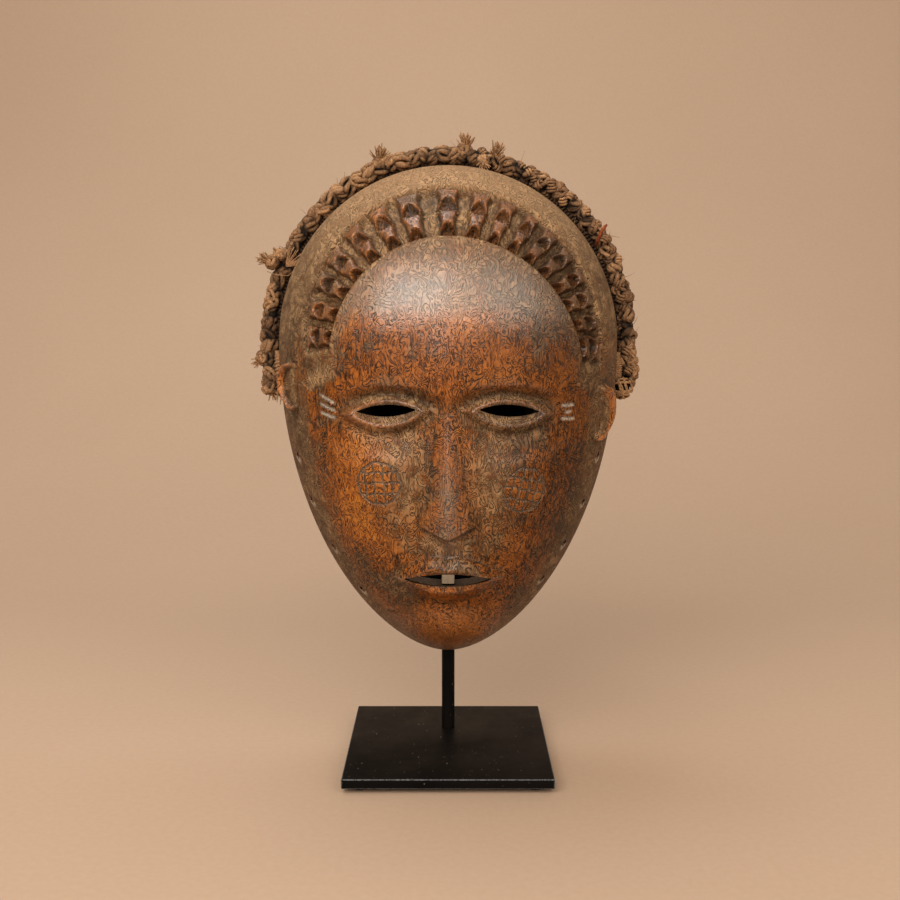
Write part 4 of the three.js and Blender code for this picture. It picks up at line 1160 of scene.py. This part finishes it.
# A fan of fibres caught under the rope, a thin thread, and one rust-red strand.
for number in range(16):
    way = unit([mix(0.15, 1.0, number / 15), -0.25, mix(1.0, 0.1, number / 15)])
    fibres.append(fibre(np.array([-85.5, 20, 259.5]), way, 11 + draw.uniform(-1, 1), 0.42, 0.8, 0.8))
thread = np.array([[-96, 22, 257], [-92, 20, 255.4], [-88, 19, 254.8], [-84.3, 18.5, 254.6], [-80, 17, 258.2],
                   [-76.2, 15, 262]])
fibres.append((thread, np.full(6, 0.2), 1.0, 0))
red_strand = np.array([[78.2, 24, 270.5], [79.2, 20.5, 274], [80.6, 19.5, 277.5], [82.8, 21, 280.5]])
red_pair = [(red_strand + off, np.full(4, thick), 0, 0) for off, thick in ((0, 0.9), (0.9, 0.6))]
red_piece = swept("red_strand", red_pair, 8)
# Loose fibres that stand out of the rope all along.
for _ in range(LOOSE_FIBRES):
    middle, along, out, forward = rope_frame(draw.uniform(2, ROPE_LENGTH - 2))
    around = draw.uniform(0, 6.28)
    radial = math.cos(around) * out + math.sin(around) * forward
    way = unit(radial * draw.uniform(0.3, 1) + along * draw.uniform(-1, 1))
    start = middle + radial * 3.8
    fibres.append(fibre(start, way, draw.uniform(2.5, 7), 0.13, draw.uniform(0, 3), draw.random()))
knot_piece = swept("rope_knots", knots, 6)
fibre_piece = swept("rope_fibres", fibres, 4)


def plant_fibre(name, dull, rubbed):
    # Twisted bark fibre, dry and unspun: dull brown, ribbed along each strand, paler where it is rubbed, and
    # nearly black with painted shade deep between the loops.
    finish, node, place = new_finish(name)
    tint, deep = [node(FROM_MESH, attribute_name=name, out="Fac") for name in ("tint", "deep")]
    # Single fibres are 0.2 mm thick: drawn as 0.9 mm, so that they show. Stains are 15 mm wide.
    fine, stains = [node(NOISE, dict(zip(CLOUD, row))) for row in (
        (place, 1100.0, 3.0, 0.65, 0.6), (place, 65.0, 2.0))]
    stained = node(MATH, {0: stains, 1: 0.7}, operation="MULTIPLY")
    tone = node(MATH, {0: tint, 1: 0.5, 2: stained}, operation="MULTIPLY_ADD")
    share, ribs, lit = [node(RANGE, dict(zip(SPAN, row))) for row in (
        (tone, 0.2, 0.9), (fine, 0.4, 0.6, 0.5, 0.0), (fine, 0.62, 0.78, 0.0, 0.45))]
    body = colour(dull)
    for part, paint in ((share, rubbed), (ribs, "#241911"), (lit, "#c2a27a"), (deep, "#140e0a")):
        body = node(MIX, {0: part, 6: body, 7: colour(paint)}, 2, data_type="RGBA")
    bump = node(BUMP, {"Strength": 0.5, "Distance": 0.0005, "Height": fine})
    shader = node(SURFACE, {"Base Color": body, "Roughness": 0.85, "Specular IOR Level": 0.25, "Normal": bump})
    node(OUTPUT, {"Surface": shader})
    return finish


natural = plant_fibre("dry twisted plant fibre", "#5c3f2a", "#b68d65")
dyed = plant_fibre("rust-dyed plant fibre", "#7a3416", "#a4552b")
for piece, name, finish in ((red_piece, "trim_red_strand", dyed), (rope, "trim_rope", natural),
                            (knot_piece, "trim_knots", natural), (fibre_piece, "trim_fibres", natural)):
    finish_piece(piece, name, finish, "fibre_trim")


# The stand.
def black_paint():
    # Mild steel under satin black paint: a faint orange peel, pale dust specks, bare metal on the worn edges.
    finish, node, place = new_finish("satin black painted steel")
    edge = node(FROM_MESH, attribute_name="edge", out="Fac")
    # Handling marks 30 mm wide, paint texture 0.8 mm, dust specks about 1 mm: drawn larger than real to show.
    cloud, peel, specks = [node(NOISE, dict(zip(CLOUD, row))) for row in (
        (place, 32.0, 3.0, 0.6), (place, 1300.0, 2.0), (place, 620.0, 1.0, 0.4))]
    share, fleck, rubbed, gloss = [node(RANGE, dict(zip(SPAN, row))) for row in (
        (cloud, 0.35, 0.7), (specks, 0.74, 0.79, 0.0, 0.6), (peel, 0.35, 0.65, 0.1, 0.75),
        (cloud, 0.3, 0.7, 0.55, 0.42))]
    bare = node(MATH, {0: edge, 1: rubbed}, operation="MULTIPLY")
    body = colour("#070707")
    for part, paint in ((share, "#110f0e"), (fleck, "#8a7f70"), (bare, "#7f8388")):
        body = node(MIX, {0: part, 6: body, 7: colour(paint)}, 2, data_type="RGBA")
    bump = node(BUMP, {"Strength": 0.25, "Distance": 0.0002, "Height": peel})
    shader = node(SURFACE, {"Base Color": body, "Roughness": gloss, "Specular IOR Level": 0.06, "Normal": bump})
    node(OUTPUT, {"Surface": shader})
    return finish


def one_grain(name, dark, light, pattern, low, high, relief, surface):
    """A finish with one fine grain, which mottles its colour and makes it rough."""
    finish, node, place = new_finish(name)
    grain = node(NOISE, dict(zip(CLOUD, (place, *pattern))))
    share = node(RANGE, dict(zip(SPAN, (grain, low, high))))
    body = node(MIX, {0: share, 6: colour(dark), 7: colour(light)}, 2, data_type="RGBA")
    bump = node(BUMP, {"Strength": relief[0], "Distance": relief[1], "Height": grain})
    shader = node(SURFACE, {"Base Color": body, "Normal": bump, **surface})
    node(OUTPUT, {"Surface": shader})
    return finish


def soft_felt(name, dark, light):
    # Pressed wool felt: matt, with a short nap of 0.9 mm that mottles it.
    return one_grain(name, dark, light, (1100.0, 4.0, 0.7), 0.3, 0.7, (0.8, 0.0004),
                     {"Roughness": 0.95, "Sheen Weight": 0.3})


def black_rubber():
    # Moulded rubber: matt black with a fine grain of 0.7 mm and a little dust.
    return one_grain("moulded black rubber", "#0c0c0c", "#1f1d1b", (1500.0, 2.0), 0.4, 0.7, (0.4, 0.0002),
                     {"Roughness": 0.7})


def node_box(node):
    low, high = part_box(node)
    return np.array(low), np.array(high)


def round_bar(node, sides, end, rounding):
    """An upright cylinder that fills a node's box, rounded at one end: 0 for its foot, 1 for its top."""
    low, high = node_box(node)
    bpy.ops.mesh.primitive_cylinder_add(
        vertices=sides, radius=(high[0] - low[0]) / 2, depth=high[2] - low[2], location=tuple((low + high) / 2))
    piece = bpy.context.active_object
    bpy.ops.object.transform_apply(location=True)
    ring = np.abs(flat_points(piece)[:, 2] - (low, high)[end][2]) < 0.01 * MM
    edit(piece, "edges", edges_between(piece, ring),
         lambda: bpy.ops.mesh.bevel(offset=rounding * MM, segments=3))
    bpy.ops.object.shade_smooth_by_angle(angle=35 * DEGREE)
    return piece


def rounded_copy(node, rounding):
    """A copy of a node with its edges rounded."""
    piece = bpy.data.objects.new(node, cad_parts[node].data.copy())
    bpy.context.collection.objects.link(piece)
    edit(piece, "vertices", None,
         lambda: bpy.ops.mesh.remove_doubles(threshold=0.01 * MM),
         lambda: bpy.ops.mesh.customdata_custom_splitnormals_clear(),
         lambda: bpy.ops.mesh.dissolve_limited(angle_limit=DEGREE))
    edge_round = piece.modifiers.new("edge_round", "BEVEL")
    edge_round.width = rounding * MM
    edge_round.segments = 3
    edge_round.limit_method = "ANGLE"
    edge_round.angle_limit = 30 * DEGREE
    bpy.ops.object.modifier_apply(modifier="edge_round")
    bpy.ops.object.shade_smooth_by_angle(angle=40 * DEGREE)
    return piece


# The base plate, whose paint is worn off along its edges.
PLATE_ROUNDING = 0.6
WORN_EDGE = 0.35
steel = black_paint()
low, high = node_box("stand_base")
bpy.ops.mesh.primitive_cube_add(size=1, location=(0, 0, 0))
plate = bpy.context.active_object
set_points(plate, flat_points(plate) * (high - low) + (low + high) / 2)
edit(plate, "edges", None, lambda: bpy.ops.mesh.bevel(offset=PLATE_ROUNDING * MM, segments=3, affect="EDGES"))
corners = flat_points(plate)
from_sides = np.sort(np.minimum(corners - low, high - corners), axis=1)
put_attribute(plate, "edge", from_sides[:, 1] < WORN_EDGE * MM)
bpy.ops.object.shade_smooth_by_angle(angle=35 * DEGREE)
finish_piece(plate, "base_plate", steel, "stand_base")

post = round_bar("stand_post", 48, 1, 1.2)
put_attribute(post, "edge", np.zeros(len(post.data.vertices)))
finish_piece(post, "post", steel, "stand_post")
rubber = black_rubber()
for number in range(1, 5):
    foot = round_bar(f"stand_foot_{number}", 32, 0, 0.7)
    finish_piece(foot, f"foot_{number}", rubber, f"stand_foot_{number}")

folded = rounded_copy("head_plate", 0.4)
put_attribute(folded, "edge", np.zeros(len(folded.data.vertices)))
finish_piece(folded, "folded_head_plate", steel, "head_plate")

# The felt's top edge is an arc.
FELT_TOP_FROM = 85
FELT_ARC = 1.5
FELT_HALF = 33
felt = rounded_copy("plate_felt", 0.5)
corners = points_of(felt)
top_edge = corners[:, 2] > FELT_TOP_FROM
corners[top_edge, 2] += FELT_ARC * (1 - np.minimum(np.abs(corners[top_edge, 0]) / FELT_HALF, 1) ** 2)
set_points(felt, to_metres(corners))
brown = soft_felt("brown pressed felt", "#5f4a37", "#7f674f")
finish_piece(felt, "felt_lining", brown, "plate_felt")
pale = soft_felt("pale pressed felt", "#d9b78f", "#f0d2ab")
finish_piece(rounded_copy("post_pad", 0.6), "felt_pad", pale, "post_pad")


# The table and the backdrop are one sheet of tan paper that curves up behind the stand.
def tan_paper():
    # Heavy matt paper: an even warm tan with a faint tooth, drawn 3 mm wide to show.
    finish, node, place = new_finish("matt tan backdrop paper")
    cloud, tooth = [node(NOISE, dict(zip(CLOUD, row))) for row in ((place, 3.0, 3.0), (place, 300.0, 3.0, 0.6))]
    share = node(RANGE, {"Value": tooth, "From Min": 0.3, "From Max": 0.7, "To Max": 0.12})
    body = colour("#b39b85")
    for part, paint in ((cloud, "#bba48e"), (share, "#9a7c5e")):
        body = node(MIX, {0: part, 6: body, 7: colour(paint)}, 2, data_type="RGBA")
    shader = node(SURFACE, {"Base Color": body, "Roughness": 0.95, "Specular IOR Level": 0.2})
    node(OUTPUT, {"Surface": shader})
    return finish


PAPER_SIZE = (6, 4, 0)
PAPER_MIDDLE = (0, -0.9, 0)
PAPER_RISE = 3
PAPER_CURVE = 0.8
bpy.ops.mesh.primitive_plane_add(size=1, location=(0, 0, 0))
backdrop = bpy.context.active_object
set_points(backdrop, flat_points(backdrop) * PAPER_SIZE + PAPER_MIDDLE)
edit(backdrop, "edges", edges_between(backdrop, flat_points(backdrop)[:, 1] > 0),
     lambda: bpy.ops.mesh.extrude_region_move(TRANSFORM_OT_translate={"value": (0, 0, PAPER_RISE)}))
sheet = flat_points(backdrop)
edit(backdrop, "edges", edges_between(backdrop, (sheet[:, 1] > 0) & (sheet[:, 2] < PAPER_CURVE)),
     lambda: bpy.ops.mesh.bevel(offset=PAPER_CURVE, segments=24))
bpy.ops.object.shade_smooth()
backdrop.name = "backdrop"
backdrop.data.materials.append(tan_paper())


def softbox(name, at, aim, size, power, tint):
    data = bpy.data.lights.new(name, "AREA")
    data.shape = "RECTANGLE"
    data.size, data.size_y = size
    data.energy = power
    data.color = colour(tint)[:3]
    lamp = bpy.data.objects.new(name, data)
    lamp.location = at
    lamp.rotation_euler = (Vector(aim) - Vector(at)).to_track_quat("-Z", "Y").to_euler()
    bpy.context.collection.objects.link(lamp)


# The lights: name, place, what it faces, width and height, in metres, power in watts, and colour.
for lamp in (
        ("wide", (0.12, -1.15, 0.95), (0, 0, 0.27), (3.4, 1.2), 28, "#ffeedd"),
        ("key", (-0.42, -0.95, 0.92), (0, 0, 0.26), (1.0, 0.8), 10, "#fff4ea"),
        ("low_strip", (-0.1, -1.2, 0.13), (0, 0, 0.16), (0.12, 0.3), 0.6, "#fff4ea"),
        ("hollow_fill", (0, -0.02, 0.125), (0, 0.023, 0.088), (0.05, 0.02), 0.014, "#ffffff"),
        ("top", (-0.35, 0.15, 1.35), (0, 0.05, 0.2), (0.9, 0.7), 6, "#ffffff"),
        ("backdrop_wash", (0.35, 0.5, 1.9), (0.35, 1.0, 0.1), (1.8, 0.6), 7, "#ffffff")):
    softbox(*lamp)
world = bpy.data.worlds.new("studio")
world.use_nodes = True
sky = world.node_tree.nodes["Background"].inputs
sky["Color"].default_value = colour("#ead9c4")
sky["Strength"].default_value = 0.17
bpy.context.scene.world = world
bpy.context.scene.view_settings.view_transform = "Standard"
